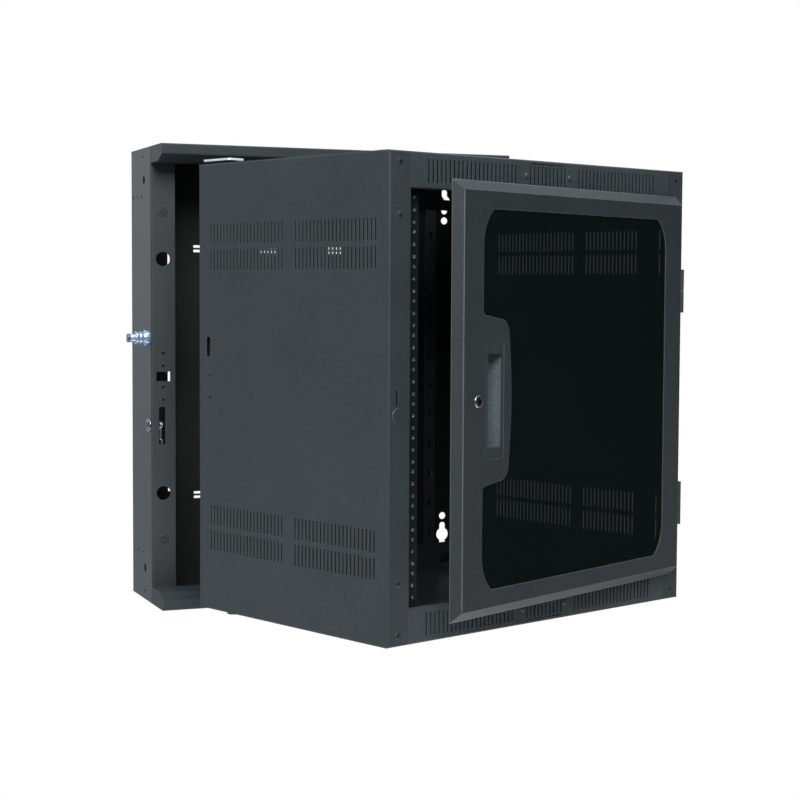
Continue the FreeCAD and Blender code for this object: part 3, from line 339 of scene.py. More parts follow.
class Bench:
    """A node tree being put together."""

    def __init__(self, tree):
        self.tree = tree

    def plug(self, socket, value):
        """Set one socket, or link one or more wires to it."""
        for wire in value if isinstance(value, list) else [value]:
            if isinstance(wire, Wire):
                self.tree.links.new(wire.socket, socket)
            else:
                socket.default_value = wire

    def node(self, kind, settings, sockets, out=0):
        """Add one node, settings first, and give one of its outputs if it has any."""
        made = self.tree.nodes.new(kind)
        for name, value in settings.items():
            setattr(made, name, value)
        for key, value in sockets.items():
            self.plug(made.inputs[key], value)
        return Wire(self, made.outputs[out]) if len(made.outputs) else None


def solid(colour):
    """A colour with its fourth number."""
    return (*colour, 1.0)


def scaled(colour, factor):
    """A colour made darker or lighter."""
    return tuple(channel * factor for channel in colour)


def coordinate(bench, place, axis):
    """One coordinate of a place."""
    return bench.node("ShaderNodeSeparateXYZ", {}, {0: place}, axis)


def rays(bench):
    """Masks for what the camera sees, what is mirrored and what is seen through the window."""
    kinds = ("Is Camera Ray", "Is Glossy Ray", "Is Transmission Ray")
    return [bench.node("ShaderNodeLightPath", {}, {}, kind) for kind in kinds]


# Finishes

EDGE_SAMPLES = 6
EDGE_TURN = (0.004, 0.06)            # turn of the rounded normal, as one less its cosine


def start_finish(name):
    """A new material's bench and its Object coordinates."""
    material = bpy.data.materials.new(name)
    material.use_nodes = True
    material.node_tree.nodes.clear()
    bench = Bench(material.node_tree)
    return bench, bench.node("ShaderNodeTexCoord", {}, {}, "Object")


def noise(bench, place, width, detail=2.0, roughness=0.5):
    """Noise whose blobs are about that wide."""
    return bench.node("ShaderNodeTexNoise", {},
                      {"Vector": place, "Scale": 1 / width, "Detail": detail, "Roughness": roughness})


def blend(bench, mask, first, second):
    """Mix two colours by a mask."""
    first = first if isinstance(first, Wire) else solid(first)
    second = second if isinstance(second, Wire) else solid(second)
    return bench.node("ShaderNodeMix", {"data_type": "RGBA"}, {0: mask, 6: first, 7: second}, 2)


def edges(bench, radius):
    """The rounded normal, and a mask that is one on rounded edges."""
    rounded = bench.node("ShaderNodeBevel", {"samples": EDGE_SAMPLES}, {"Radius": radius})
    true = bench.node("ShaderNodeNewGeometry", {}, {}, "Normal")
    agree = bench.node("ShaderNodeVectorMath", {"operation": "DOT_PRODUCT"},
                       {0: rounded, 1: true}, "Value")
    return rounded, (1 - agree).within(*EDGE_TURN)


def bumped(bench, height, depth, strength, rounded):
    """The rounded normal with a fine relief on it."""
    return bench.node("ShaderNodeBump", {}, {"Strength": strength, "Distance": depth, "Height": height,
                                             "Normal": rounded})


def close_finish(bench, sockets):
    """Add the shader and the output."""
    shader = bench.node("ShaderNodeBsdfPrincipled", {}, sockets)
    bench.node("ShaderNodeOutputMaterial", {}, {"Surface": shader})


def powder_coat(name, worn_and_highlit, lift, speckle=0.5, gloss=0.5, rounding=None, painted_shade_lift=None):
    """Fine-textured black powder coat, lighter along its edges with wear and a painted highlight, and with painted
    shade near the wall if asked.
    """
    look = bpy.context.scene.rack_finishes
    bench, place = start_finish(name)
    grain = noise(bench, place, look.coat_grain, roughness=0.6)
    cloud = noise(bench, place, look.coat_cloud, detail=4.0, roughness=0.55)
    fleck = noise(bench, place, look.coat_fleck, detail=1.0)
    rounded, edge = edges(bench, rounding or look.fold_round)
    tone = (cloud * 0.55 + grain * 0.3 + (fleck - 0.5) * speckle + 0.05).within(0.2, 0.75)
    rough = look.coat_rough - 0.07 + grain * 0.09 + cloud * 0.07 - edge * 0.06
    # painted shade: the colour darkens towards the wall, where the pan's back lies in shade, and the coat turns
    # rougher there
    if painted_shade_lift:
        back = coordinate(bench, place, "Y").within(-look.painted_shade_near, -look.painted_shade_far)
        lift = lift - back * (lift - painted_shade_lift)
        rough = rough + back * 0.45
    colour = blend(bench, tone, look.coat_dark, look.coat_light)
    # painted light and shade: lift scales the colour up or down for each copy of the coat
    colour = bench.node("ShaderNodeVectorMath", {"operation": "SCALE"}, {0: colour, "Scale": lift})
    # wear and painted highlight: rounded edges are lightened towards the worn colour, partly as rubbed coat and
    # partly as a painted highlight on the folds
    rubbed_and_highlit = edge * worn_and_highlit * (0.45 + cloud * 0.6 + fleck * 0.3)
    relief = grain + fleck * 0.5
    close_finish(bench, {"Base Color": blend(bench, rubbed_and_highlit, colour, look.coat_worn_and_highlit),
                         "Roughness": rough, "Specular IOR Level": gloss,
                         "Normal": bumped(bench, relief, look.coat_depth, 0.35, rounded)})


def plated(name, colour, rough, dull, metal=1.0, rounding=None):
    """Plated metal with faint clouds and fine wear."""
    look = bpy.context.scene.rack_finishes
    bench, place = start_finish(name)
    cloud = noise(bench, place, look.plate_cloud, detail=3.0)
    wear = noise(bench, place, look.plate_wear, roughness=0.7)
    rounded, edge = edges(bench, rounding or look.plate_round)
    tone = (cloud * 0.8 + wear * 0.4 - 0.1).within(0.2, 0.9)
    close_finish(bench, {"Base Color": blend(bench, tone, scaled(colour, dull), colour),
                         "Metallic": metal,
                         "Roughness": rough - 0.05 + cloud * 0.08 + wear * 0.06 + edge * 0.05,
                         "Normal": bumped(bench, wear, look.plate_depth, 0.12, rounded)})


def moulded_nylon(name):
    """Matte moulded nylon."""
    look = bpy.context.scene.rack_finishes
    bench, place = start_finish(name)
    grain = noise(bench, place, look.nylon_grain)
    cloud = noise(bench, place, look.nylon_cloud, detail=3.0)
    rounded, edge = edges(bench, look.fold_round)
    tone = cloud * 0.6 + edge * 0.4
    close_finish(bench, {"Base Color": blend(bench, tone, look.nylon, scaled(look.nylon, 2.2)),
                         "Roughness": 0.5 + grain * 0.15, "Specular IOR Level": 0.4,
                         "Normal": bumped(bench, grain, look.nylon_depth, 0.3, rounded)})


def smoked_acrylic(name):
    """Smoked acrylic with a trace of dust."""
    look = bpy.context.scene.rack_finishes
    bench, place = start_finish(name)
    film = noise(bench, place, look.smoke_film, detail=4.0, roughness=0.6)
    dust = noise(bench, place, look.smoke_dust, detail=1.0).within(0.68, 0.78)
    tone = dust * 0.5 + film * 0.2
    close_finish(bench, {"Base Color": blend(bench, tone, look.smoke, scaled(look.smoke, 2.5)),
                         "Roughness": 0.05 + film * 0.06 + dust * 0.05,
                         "Alpha": look.smoke_depth, "Specular IOR Level": 0.02})


class RACK_OT_mix_finishes(bpy.types.Operator):
    """Make the finishes that the rack's pieces share"""
    bl_idname = "rack.mix_finishes"
    bl_label = "Mix Finishes"

    def execute(self, context):
        look = context.scene.rack_finishes
        # The lift of each coat below makes a lighter or darker copy of one powder coat, set piece by piece for how
        # light falls on it: painted light and shade. The edge share lightens rounded edges, partly as wear and
        # partly as a painted highlight.
        powder_coat("sheet_coat", worn_and_highlit=0.6, lift=1.04, speckle=0.9)
        powder_coat("strip_coat", worn_and_highlit=0.5, lift=1.3, speckle=1.2)
        # painted shade on the pan's back, near the wall
        powder_coat("pan_coat", worn_and_highlit=0.5, lift=0.78, gloss=0.75, painted_shade_lift=0.1)
        powder_coat("header_coat", worn_and_highlit=0.5, lift=1.1, gloss=0.2)
        powder_coat("rail_coat", worn_and_highlit=1.2, lift=0.3, gloss=0.25)
        powder_coat("door_coat", worn_and_highlit=1.1, lift=0.66, speckle=1.5, rounding=look.door_round)
        # painted highlight: a much lighter copy of the coat on the bead along the door's left fold
        powder_coat("bead_coat", worn_and_highlit=0.5, lift=2.6, speckle=0.9)
        powder_coat("cup_coat", worn_and_highlit=0.5, lift=2.8, speckle=1.5)
        # painted shade: a darker copy of the coat, on the column screw heads, the flange knockouts and the frame
        # in the cup's mouth
        powder_coat("screw_coat", worn_and_highlit=0.2, lift=0.7)
        plated("lock_plate", look.chrome, rough=0.2, dull=0.7)
        plated("sleeve_plate", look.blued, rough=0.2, dull=0.7, metal=0.68)
        plated("cap_plate", look.cap_steel, rough=0.24, dull=0.6, metal=0.7)
        # partly painted glint: a near-white, partly matte plate makes the thread rings show as bright dots
        plated("thread_plate", look.galvanised_and_painted_sheen, rough=0.3, dull=0.85, metal=0.65, rounding=0.0002)
        # painted sheen: a near-white, mostly matte plate makes the pivot plates look bright where they would only
        # reflect
        plated("pivot_plate", look.galvanised_and_painted_sheen, rough=0.45, dull=0.92, metal=0.25)
        plated("zinc_plate", look.zinc, rough=0.34, dull=0.7, rounding=0.0004)
        plated("black_plate", look.blacked_and_shade, rough=0.34, dull=0.6)
        plated("plug_plate", look.key_plug, rough=0.3, dull=0.6)
        moulded_nylon("glide_nylon")
        smoked_acrylic("window_smoke")
        return {"FINISHED"}


class RACK_OT_dress_sheets(bpy.types.Operator):
    """Give every carried-over CAD node the finish of its slot, or its own"""
    bl_idname = "rack.dress_sheets"
    bl_label = "Dress Sheets"
    usual = {"powder_coat": "sheet_coat", "bright_plate": "lock_plate", "zinc_steel": "zinc_plate",
             "black_nylon": "glide_nylon", "smoked_window": "window_smoke"}
    own = {"door_frame": "door_coat", "pull_cup": "cup_coat", "pan_lock_plug": "plug_plate",
           "door_lock_plug": "plug_plate", "pan_tray": "pan_coat", "pan_top_header": "header_coat",
           "pan_bottom_header": "header_coat", "top_panel": "strip_coat", "bottom_panel": "strip_coat",
           "left_rack_rail": "rail_coat", "right_rack_rail": "rail_coat",
           "pivot_plates": "pivot_plate"}

    def execute(self, context):
        for part in frame["record"]["subparts"]:
            finish = self.own.get(part["node"], self.usual[part["material_slot"]])
            for slot in frame["nodes"][part["node"]].material_slots:
                slot.material = bpy.data.materials[finish]
        return {"FINISHED"}


# Turned pieces

SMOOTH_ANGLE = math.radians(40)      # faces that meet at less than this are shaded as one
TURN_SIDES = 64
EASING_STEPS = 3                     # stretches in a rounded corner
EASING_SHARE = 0.45                  # most of a straight stretch that one rounding takes


def show(name, mesh, body, stands_for):
    """Put a finished mesh in the scene on its body."""
    mesh.name = name
    mesh.shade_smooth()
    mesh.set_sharp_from_angle(angle=SMOOTH_ANGLE)
    piece = bpy.data.objects.new(name, mesh)
    bpy.context.scene.collection.objects.link(piece)
    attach(piece, body)
    if stands_for:
        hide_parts(*stands_for)


def eased(profile, easing, ring):
    """A profile of (along, radius) with its corners rounded. A ring's profile is closed."""
    spots = [Vector(spot) for spot in profile]
    made = []
    for index, spot in enumerate(spots):
        if not ring and index in (0, len(spots) - 1):
            made.append(spot)
            continue
        before = spots[index - 1] - spot
        after = spots[(index + 1) % len(spots)] - spot
        reach = min(easing, before.length * EASING_SHARE, after.length * EASING_SHARE)
        start = spot + before.normalized() * reach
        end = spot + after.normalized() * reach
        for step in range(EASING_STEPS + 1):
            part = step / EASING_STEPS
            made.append(start * (1 - part) ** 2 + spot * 2 * part * (1 - part) + end * part ** 2)
    return made


def bridge(shape, first, second):
    """Faces all round between two loops of points."""
    for step in range(len(first)):
        follow = (step + 1) % len(first)
        corners = [first[step], first[follow], second[follow], second[step]]
        shape.faces.new(list(dict.fromkeys(corners)))


def dressed(shape, finish):
    """The mesh of a shape, its faces turned outwards and given a finish."""
    bmesh.ops.recalc_face_normals(shape, faces=shape.faces)
    mesh = bpy.data.meshes.new("shape")
    shape.to_mesh(mesh)
    shape.free()
    mesh.materials.append(bpy.data.materials[finish])
    return mesh


def turned(profile, seat, axis, finish, ring):
    """Turn a profile about an axis that runs inward from the seat."""
    shape = bmesh.new()
    side = axis.orthogonal().normalized()
    up = axis.cross(side)
    angles = [math.tau * step / TURN_SIDES for step in range(TURN_SIDES)]
    ways = [side * math.cos(angle) + up * math.sin(angle) for angle in angles]
    loops = []
    for along, radius in profile:
        middle = seat + axis * along
        if radius:
            loops.append([shape.verts.new(middle + way * radius) for way in ways])
        else:
            loops.append([shape.verts.new(middle)] * TURN_SIDES)
    for first, second in zip(loops, loops[1:] + (loops[:1] if ring else [])):
        bridge(shape, first, second)
    return dressed(shape, finish)


def pan_side_seat(node):
    """The middle of a fitting where it meets the pan's left side."""
    low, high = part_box(node)
    return Vector((PAN_LOW.x, (low.y + high.y) / 2, (low.z + high.z) / 2))


class RACK_OT_turn_latch(bpy.types.Operator):
    """Turn the push-in latch: its flanged sleeve and its plunger"""
    bl_idname = "rack.turn_latch"
    bl_label = "Turn Latch"

    def sleeve(self, size, seat):
        """The flanged sleeve with its ring grooves, bored for the plunger."""
        low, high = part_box("latch_sleeve")
        flange = (high.z - low.z) / 2
        mouth = low.x - seat.x
        end = high.x - seat.x
        profile = [(mouth, size.sleeve_bore), (mouth, size.sleeve)]
        for gap in (size.band_far, size.band_near):
            near = -size.sleeve_flange - gap
            far = near - size.band_width
            profile += [(far, size.sleeve), (far, size.sleeve_band), (near, size.sleeve_band),
                        (near, size.sleeve)]
        profile += [(-size.sleeve_flange, size.sleeve), (-size.sleeve_flange, flange), (0, flange),
                    (0, size.sleeve_neck), (end, size.sleeve_neck), (end, size.bolt_bore),
                    (size.sleeve_floor, size.bolt_bore), (size.sleeve_floor, size.sleeve_bore)]
        mesh = turned(eased(profile, size.easing, True), seat, RIGHT, "sleeve_plate", True)
        show("latch_sleeve_turned", mesh, "back_pan", ["latch_sleeve"])

    def plunger(self, size, seat):
        """The plunger: a darker cap, the groove under it, the head and the bolt."""
        low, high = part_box("latch_plunger")
        top = low.x - seat.x
        tip = high.x - seat.x
        rim = top + size.cap_height
        head = rim + size.cap_groove
        foot = head + size.head_height
        profile = [(top, 0), (top, size.plunger_cap), (rim, size.plunger_cap),
                   (rim, size.plunger_groove), (head, size.plunger_groove), (head, size.plunger_head),
                   (foot, size.plunger_head), (foot, size.plunger_bolt), (tip, size.plunger_bolt),
                   (tip, 0)]
        mesh = turned(eased(profile, size.easing, False), seat, RIGHT, "sleeve_plate", False)
        mesh.materials.append(bpy.data.materials["cap_plate"])
        for face in mesh.polygons:
            face.material_index = int(face.center.x < seat.x + rim)
        show("latch_plunger_turned", mesh, "plunger", ["latch_plunger"])

    def execute(self, context):
        size = context.scene.rack_turnings
        seat = pan_side_seat("latch_sleeve")
        self.sleeve(size, seat)
        self.plunger(size, seat)
        return {"FINISHED"}


class RACK_OT_turn_locks(bpy.types.Operator):
    """Turn the bezels and bodies of the two key locks"""
    bl_idname = "rack.turn_locks"
    bl_label = "Turn Locks"

    def barrel(self, size, seat, axis, bezel, height, body, depth, plug):
        """A lock body with a domed bezel, bored for its plug."""
        dome = bezel * size.bezel_dome
        brow = (-height * size.bezel_brow, bezel - dome * size.bezel_slope)
        foot = (-height * size.bezel_foot, bezel)
        profile = [(-height, plug), (-height, bezel - dome), brow, foot, (0, bezel), (0, body),
                   (depth, body), (depth, plug)]
        return turned(eased(profile, size.easing, True), seat, axis, "lock_plate", True)

    def execute(self, context):
        size = context.scene.rack_turnings
        seat = pan_side_seat("pan_lock_body")
        low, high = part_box("pan_lock_body")
        mesh = self.barrel(size, seat, RIGHT, (high.z - low.z) / 2, size.pan_bezel, size.pan_body,
                           high.x - seat.x, size.pan_plug)
        show("pan_lock_turned", mesh, "back_pan", ["pan_lock_body"])

        low, high = shut_box("door_lock_body", DOOR_REST)
        seat = Vector(((low.x + high.x) / 2, DOOR_LOW.y, (low.z + high.z) / 2))
        axis = DOOR_REST.to_3x3() @ -FRONT
        mesh = self.barrel(size, DOOR_REST @ seat, axis, (high.z - low.z) / 2, size.door_bezel,
                           size.door_body, high.y - seat.y, size.door_plug)
        show("door_lock_turned", mesh, "door", ["door_lock_body"])
        return {"FINISHED"}


class RACK_OT_fit_shade_frame(bpy.types.Operator):
    """Fit a flat dark frame in the mouth of the pull cup, painted shade where the cup's inner walls lie in shade
    """
    bl_idname = "rack.fit_trim"
    bl_label = "Fit Trim"

    def execute(self, context):
        size = context.scene.rack_trim
        outer = (size.left + size.clearance, size.right - size.clearance, size.half - size.clearance)
        inner = (size.left + size.border, size.right - size.border, size.opening_half)
        shape = bmesh.new()
        rows = []
        for left, right, half in (outer, inner):
            for depth in (size.recess, size.recess + size.thickness):
                spots = [(left, -half), (right, -half), (right, half), (left, half)]
                rows.append([shape.verts.new(DOOR_REST @ Vector((DOOR_LOW.x + x, DOOR_LOW.y + depth, z)))
                             for x, z in spots])
        front, back, inner_front, inner_back = rows
        for first, second in ((front, back), (inner_front, inner_back), (front, inner_front),
                              (back, inner_back)):
            bridge(shape, first, second)
        # painted shade: the frame takes the darker coat
        show("cup_trim", dressed(shape, "screw_coat"), "door", [])
        return {"FINISHED"}


# Repeated pieces grown by node trees on their seats

SPIN_SEED = 12
HEAD_SIDES = 28
HEAD_RINGS = 12
SHANK_SIDES = 12
RING_SIDES = 14
WIRE_SIDES = 5
BEAD_SIDES = 32
DISC_SIDES = 40
HEAD_SKIRT = 0.03                    # dome below its seat, in head heights
RECESS_WIDTH = 0.20                  # cross recess, in head radii
RECESS_REACH = 1.05
RECESS_HEIGHT = 1.1                  # its cutter, in head heights


def start_tree(name, sizes):
    """A geometry tree with named sizes and a finish, its bench and its input wires."""
    tree = bpy.data.node_groups.new(name, "GeometryNodeTree")
    tree.interface.new_socket("Geometry", in_out="OUTPUT", socket_type="NodeSocketGeometry")
    tree.interface.new_socket("Seats", in_out="INPUT", socket_type="NodeSocketGeometry")
    for label in sizes:
        made = tree.interface.new_socket(label, in_out="INPUT", socket_type="NodeSocketFloat")
        made.subtype = "DISTANCE"
    tree.interface.new_socket("Finish", in_out="INPUT", socket_type="NodeSocketMaterial")
    bench = Bench(tree)
    entry = tree.nodes.new("NodeGroupInput")
    wires = {socket.name: Wire(bench, socket) for socket in entry.outputs if socket.name}
    return tree, bench, wires


def close_tree(bench, wires, shape):
    """Set the shape on every seat along its facing, each turned about it by chance."""
    facing = bench.node("GeometryNodeInputNamedAttribute", {"data_type": "FLOAT_VECTOR"},
                        {"Name": "facing"})
    stand = bench.node("FunctionNodeAlignRotationToVector", {"axis": "Z"}, {"Vector": facing})
    spin = bench.node("FunctionNodeRandomValue", {"data_type": "FLOAT_VECTOR"},
                      {0: (0, 0, 0), 1: (0, 0, math.tau), "Seed": SPIN_SEED})
    spin = bench.node("FunctionNodeEulerToRotation", {}, {0: spin})
    stand = bench.node("FunctionNodeRotateRotation", {"rotation_space": "LOCAL"},
                       {"Rotation": stand, "Rotate By": spin})
    placed = bench.node("GeometryNodeInstanceOnPoints", {},
                        {"Points": wires["Seats"], "Instance": shape, "Rotation": stand})
    plain = bench.node("GeometryNodeRealizeInstances", {}, {0: placed})
    coated = bench.node("GeometryNodeSetMaterial", {}, {"Geometry": plain, "Material": wires["Finish"]})
    bench.node("NodeGroupOutput", {}, {0: coated})


def vector(bench, x, y, z):
    """Three numbers as one vector."""
    return bench.node("ShaderNodeCombineXYZ", {}, {0: x, 1: y, 2: z})


def moved(bench, shape, place=None, scale=None):
    """A shape moved or scaled."""
    sockets = {"Geometry": shape}
    if place is not None:
        sockets["Translation"] = place
    if scale is not None:
        sockets["Scale"] = scale
    return bench.node("GeometryNodeTransform", {}, sockets)


def screw_tree():
    """A domed head with a cross recess, cut at unit size and then scaled, and its shank."""
    tree, bench, wires = start_tree("Cross Screw", ["Head Radius", "Head Height", "Shank", "Grip"])
    ball = bench.node("GeometryNodeMeshUVSphere", {},
                      {"Segments": HEAD_SIDES, "Rings": HEAD_RINGS, "Radius": 1.0})
    under = (3.0, 3.0, 2.0)
    slot = (RECESS_WIDTH, RECESS_REACH, RECESS_HEIGHT)
    cross_slot = (RECESS_REACH, RECESS_WIDTH, RECESS_HEIGHT)
    cutters = []
    for size, middle in ((under, -1 - HEAD_SKIRT), (slot, 1.0), (cross_slot, 1.0)):
        cutter = bench.node("GeometryNodeMeshCube", {}, {"Size": size})
        cutters.append(moved(bench, cutter, place=(0.0, 0.0, middle)))
    head = bench.node("GeometryNodeMeshBoolean", {"operation": "DIFFERENCE", "solver": "MANIFOLD"},
                      {0: ball, 1: cutters})
    head = moved(bench, head, scale=vector(bench, wires["Head Radius"], wires["Head Radius"],
                                           wires["Head Height"]))
    shank = bench.node("GeometryNodeMeshCylinder", {"fill_type": "NGON"},
                       {"Vertices": SHANK_SIDES, "Radius": wires["Shank"], "Depth": wires["Grip"]})
    shank = moved(bench, shank, place=vector(bench, 0.0, 0.0, wires["Grip"] * -0.5))
    both = bench.node("GeometryNodeJoinGeometry", {}, {0: [head, shank]})
    close_tree(bench, wires, both)
    return tree


def ring_tree():
    """A round wire bent into a ring."""
    tree, bench, wires = start_tree("Hole Ring", ["Ring", "Wire"])
    ring, wire = [bench.node("GeometryNodeCurvePrimitiveCircle", {},
                             {"Resolution": sides, "Radius": wires[label]})
                  for label, sides in (("Ring", RING_SIDES), ("Wire", WIRE_SIDES))]
    close_tree(bench, wires, bench.node("GeometryNodeCurveToMesh", {},
                                        {"Curve": ring, "Profile Curve": wire}))
    return tree


def bead_tree():
    """A straight bead along its facing."""
    tree, bench, wires = start_tree("Fold Bead", ["Bead", "Length"])
    close_tree(bench, wires, bench.node("GeometryNodeMeshCylinder", {"fill_type": "NGON"},
                                        {"Vertices": BEAD_SIDES, "Radius": wires["Bead"],
                                         "Depth": wires["Length"]}))
    return tree


def disc_tree():
    """A low stamped disc with a sloped rim."""
    tree, bench, wires = start_tree("Stamped Disc", ["Disc", "Stand"])
    disc = bench.node("GeometryNodeMeshCone", {"fill_type": "NGON"},
                      {"Vertices": DISC_SIDES, "Radius Bottom": wires["Disc"],
                       "Radius Top": wires["Disc"] - wires["Stand"] * 2, "Depth": wires["Stand"] * 2})
    disc = moved(bench, disc, place=vector(bench, 0.0, 0.0, wires["Stand"] * -1))
    close_tree(bench, wires, disc)
    return tree


def grow(name, tree, seats, sizes, finish, body, stands_for=()):
    """Run a tree on its seats, given as when shut, and keep the result as one plain mesh."""
    rest = RESTS[body]
    points = bpy.data.meshes.new(name + "_seats")
    points.from_pydata([rest @ spot for spot, facing in seats], [], [])
    ways = points.attributes.new("facing", "FLOAT_VECTOR", "POINT")
    for entry, (spot, facing) in zip(ways.data, seats):
        entry.vector = rest.to_3x3() @ facing
    carrier = bpy.data.objects.new(name + "_carrier", points)
    bpy.context.scene.collection.objects.link(carrier)
    modifier = carrier.modifiers.new("Grow", "NODES")
    modifier.node_group = tree
    values = {**sizes, "Finish": bpy.data.materials[finish]}
    for socket in tree.interface.items_tree:
        if socket.in_out == "INPUT" and socket.name in values:
            modifier[socket.identifier] = values[socket.name]
    graph = bpy.context.evaluated_depsgraph_get()
    mesh = bpy.data.meshes.new_from_object(carrier.evaluated_get(graph))
    carrier.modifiers.remove(modifier)
    bpy.data.objects.remove(carrier)
    if not mesh.polygons:
        raise RuntimeError(name + " grew no faces")
    show(name, mesh, body, stands_for)


def front_seat(x, y, z):
    """A seat that faces the front."""
    return Vector((x, y, z)), FRONT


class RACK_OT_drive_screws(bpy.types.Operator):
    """Drive the column, strip and lacing bar screws"""
    bl_idname = "rack.drive_screws"
    bl_label = "Drive Screws"

    def execute(self, context):
        size = context.scene.rack_fasteners
        tree = screw_tree()
        flat = {"Head Radius": size.column_head, "Head Height": size.column_head_height,
                "Shank": size.shank, "Grip": size.shank_length}
        domed = {**flat, "Head Radius": size.strip_head, "Head Height": size.strip_head_height}
        columns = [front_seat(side * size.column_screw_out, CABINET_LOW.y, up * high)
                   for side, up in CORNERS for high in (size.column_screw_high, size.column_screw_low)]
        grow("column_screws_driven", tree, columns, flat, "screw_coat", "cabinet",
             ["column_screws"])
        # painted shade: dark discs on the column screw heads for the shade in their recesses
        recess_shade_seats = [(spot + FRONT * size.column_head_height, facing) for spot, facing in columns]
        recess_shade_sizes = {"Disc": size.column_recess_shade, "Stand": size.recess_shade_stand}
        grow("column_screw_recesses", disc_tree(), recess_shade_seats, recess_shade_sizes, "black_plate", "cabinet")
        strips = [front_seat(side * size.strip_screw_out, CABINET_LOW.y, up * size.strip_screw_high)
                  for side, up in CORNERS]
        grow("strip_screws_driven", tree, strips, domed, "strip_coat", "cabinet",
             ["strip_screws"])
        bars = [front_seat(BAR_MIDDLE, -size.bar_screw_seat, up * size.bar_screw_high) for up in SIDES]
        grow("bar_screws_driven", tree, bars, {**domed, "Grip": size.bar_grip},
             "black_plate", "back_pan", ["lacing_bar_screws"])
        return {"FINISHED"}


class RACK_OT_tap_rails(bpy.types.Operator):
    """Set the bright first turn of thread in every tapped rail hole"""
    bl_idname = "rack.tap_rails"
    bl_label = "Tap Rails"

    def execute(self, context):
        size = context.scene.rack_fasteners
        depth = RAIL_LOW.y + size.thread_sink
        seats = []
        for unit in range(size.rack_units):
            middle = (unit + 0.5 - size.rack_units / 2) * size.rack_unit
            for step in (-1, 0, 1):
                height = middle + step * size.unit_pitch
                seats += [front_seat(side * size.rail_hole_out, depth, height) for side in SIDES]
        # partly painted glint: the rings are brighter than bare thread, so that each hole shows a bright dot
        sizes = {"Ring": size.thread_ring, "Wire": size.thread_wire}
        grow("rail_threads", ring_tree(), seats, sizes, "thread_plate", "cabinet")
        return {"FINISHED"}


class RACK_OT_rim_holes(bpy.types.Operator):
    """Round off the small punched holes with their coated rims"""
    bl_idname = "rack.rim_holes"
    bl_label = "Rim Holes"
    # Heights from mid-height, places as (off the wall, from mid-height), and steps of the bar's pitch
    flange_heights = (0.0165, 0.0360)
    side_spots = ((0.0130, 0.2795), (0.0400, 0.2795), (0.0695, 0.2795), (0.0780, 0.3395))
    rear_spots = ((0.159, 0.0174), (0.159, -0.0134))
    bar_steps = range(-10, 11, 2)

    def execute(self, context):
        size = context.scene.rack_fasteners
        sizes = {"Ring": size.rim_ring, "Wire": size.rim_wire}
        tree = ring_tree()
        pan = []
        cabinet = []
        for side, facing in zip(SIDES, (LEFT, RIGHT)):
            for up in SIDES:
                pan += [front_seat(side * size.flange_hole_out, PAN_LOW.y, up * high)
                        for high in self.flange_heights]
                pan += [(Vector((side * PAN_HIGH.x, -back, up * high)), facing)
                        for back, high in self.side_spots]
            cabinet += [(Vector((side * -CABINET_LOW.x, -back, high)), facing)
                        for back, high in self.rear_spots]
        pan += [front_seat(BAR_MIDDLE, BAR_LOW.y, step * size.bar_hole_pitch)
                for step in self.bar_steps]
        grow("pan_hole_rims", tree, pan, sizes, "sheet_coat", "back_pan")
        grow("cabinet_hole_rims", tree, cabinet, sizes, "sheet_coat", "cabinet")
        return {"FINISHED"}


class RACK_OT_stamp_knockouts(bpy.types.Operator):
    """Stamp the knockout discs of the pan's flanges and the front columns"""
    bl_idname = "rack.stamp_knockouts"
    bl_label = "Stamp Knockouts"

    def execute(self, context):
        size = context.scene.rack_fasteners
        tree = disc_tree()
        flange = [front_seat(side * size.flange_hole_out, PAN_LOW.y, up * size.flange_disc_high)
                  for side, up in CORNERS]
        sizes = {"Disc": size.flange_disc, "Stand": size.disc_stand}
        # painted shade: the flange knockouts take the darker coat
        grow("flange_knockouts", tree, flange, sizes, "screw_coat", "back_pan")
        column = [front_seat(side * size.column_disc_out, CABINET_LOW.y, -size.column_disc_down)
                  for side in SIDES]
        sizes = {"Disc": size.column_disc, "Stand": size.disc_stand}
        grow("column_knockouts", tree, column, sizes, "sheet_coat", "cabinet")
        return {"FINISHED"}


class RACK_OT_round_fold(bpy.types.Operator):
    """Round the fold between the door's face and its left bevel"""
    bl_idname = "rack.round_fold"
    bl_label = "Round Fold"
    same_plane = 1e-5

    def execute(self, context):
        size = context.scene.rack_trim
        face = [spot for spot in shut_points("door_frame", DOOR_REST)
                if spot.y < DOOR_LOW.y + self.same_plane]
        left = min(spot.x for spot in face)
        half = max(spot.z for spot in face)
        slope = Vector((DOOR_LOW.y - DOOR_HIGH.y, DOOR_LOW.x - left, 0)).normalized()
        inward = -(slope + FRONT).normalized()
        middle = Vector((left, DOOR_LOW.y, 0)) + inward * size.bead_sink
        # The bead rounds the fold; its much lighter coat paints the fold's highlight.
        grow("door_fold_bead", bead_tree(), [(middle, UP)],
             {"Bead": size.bead, "Length": 2 * (half - size.bead)},
             "bead_coat", "door")
        return {"FINISHED"}


# Stage

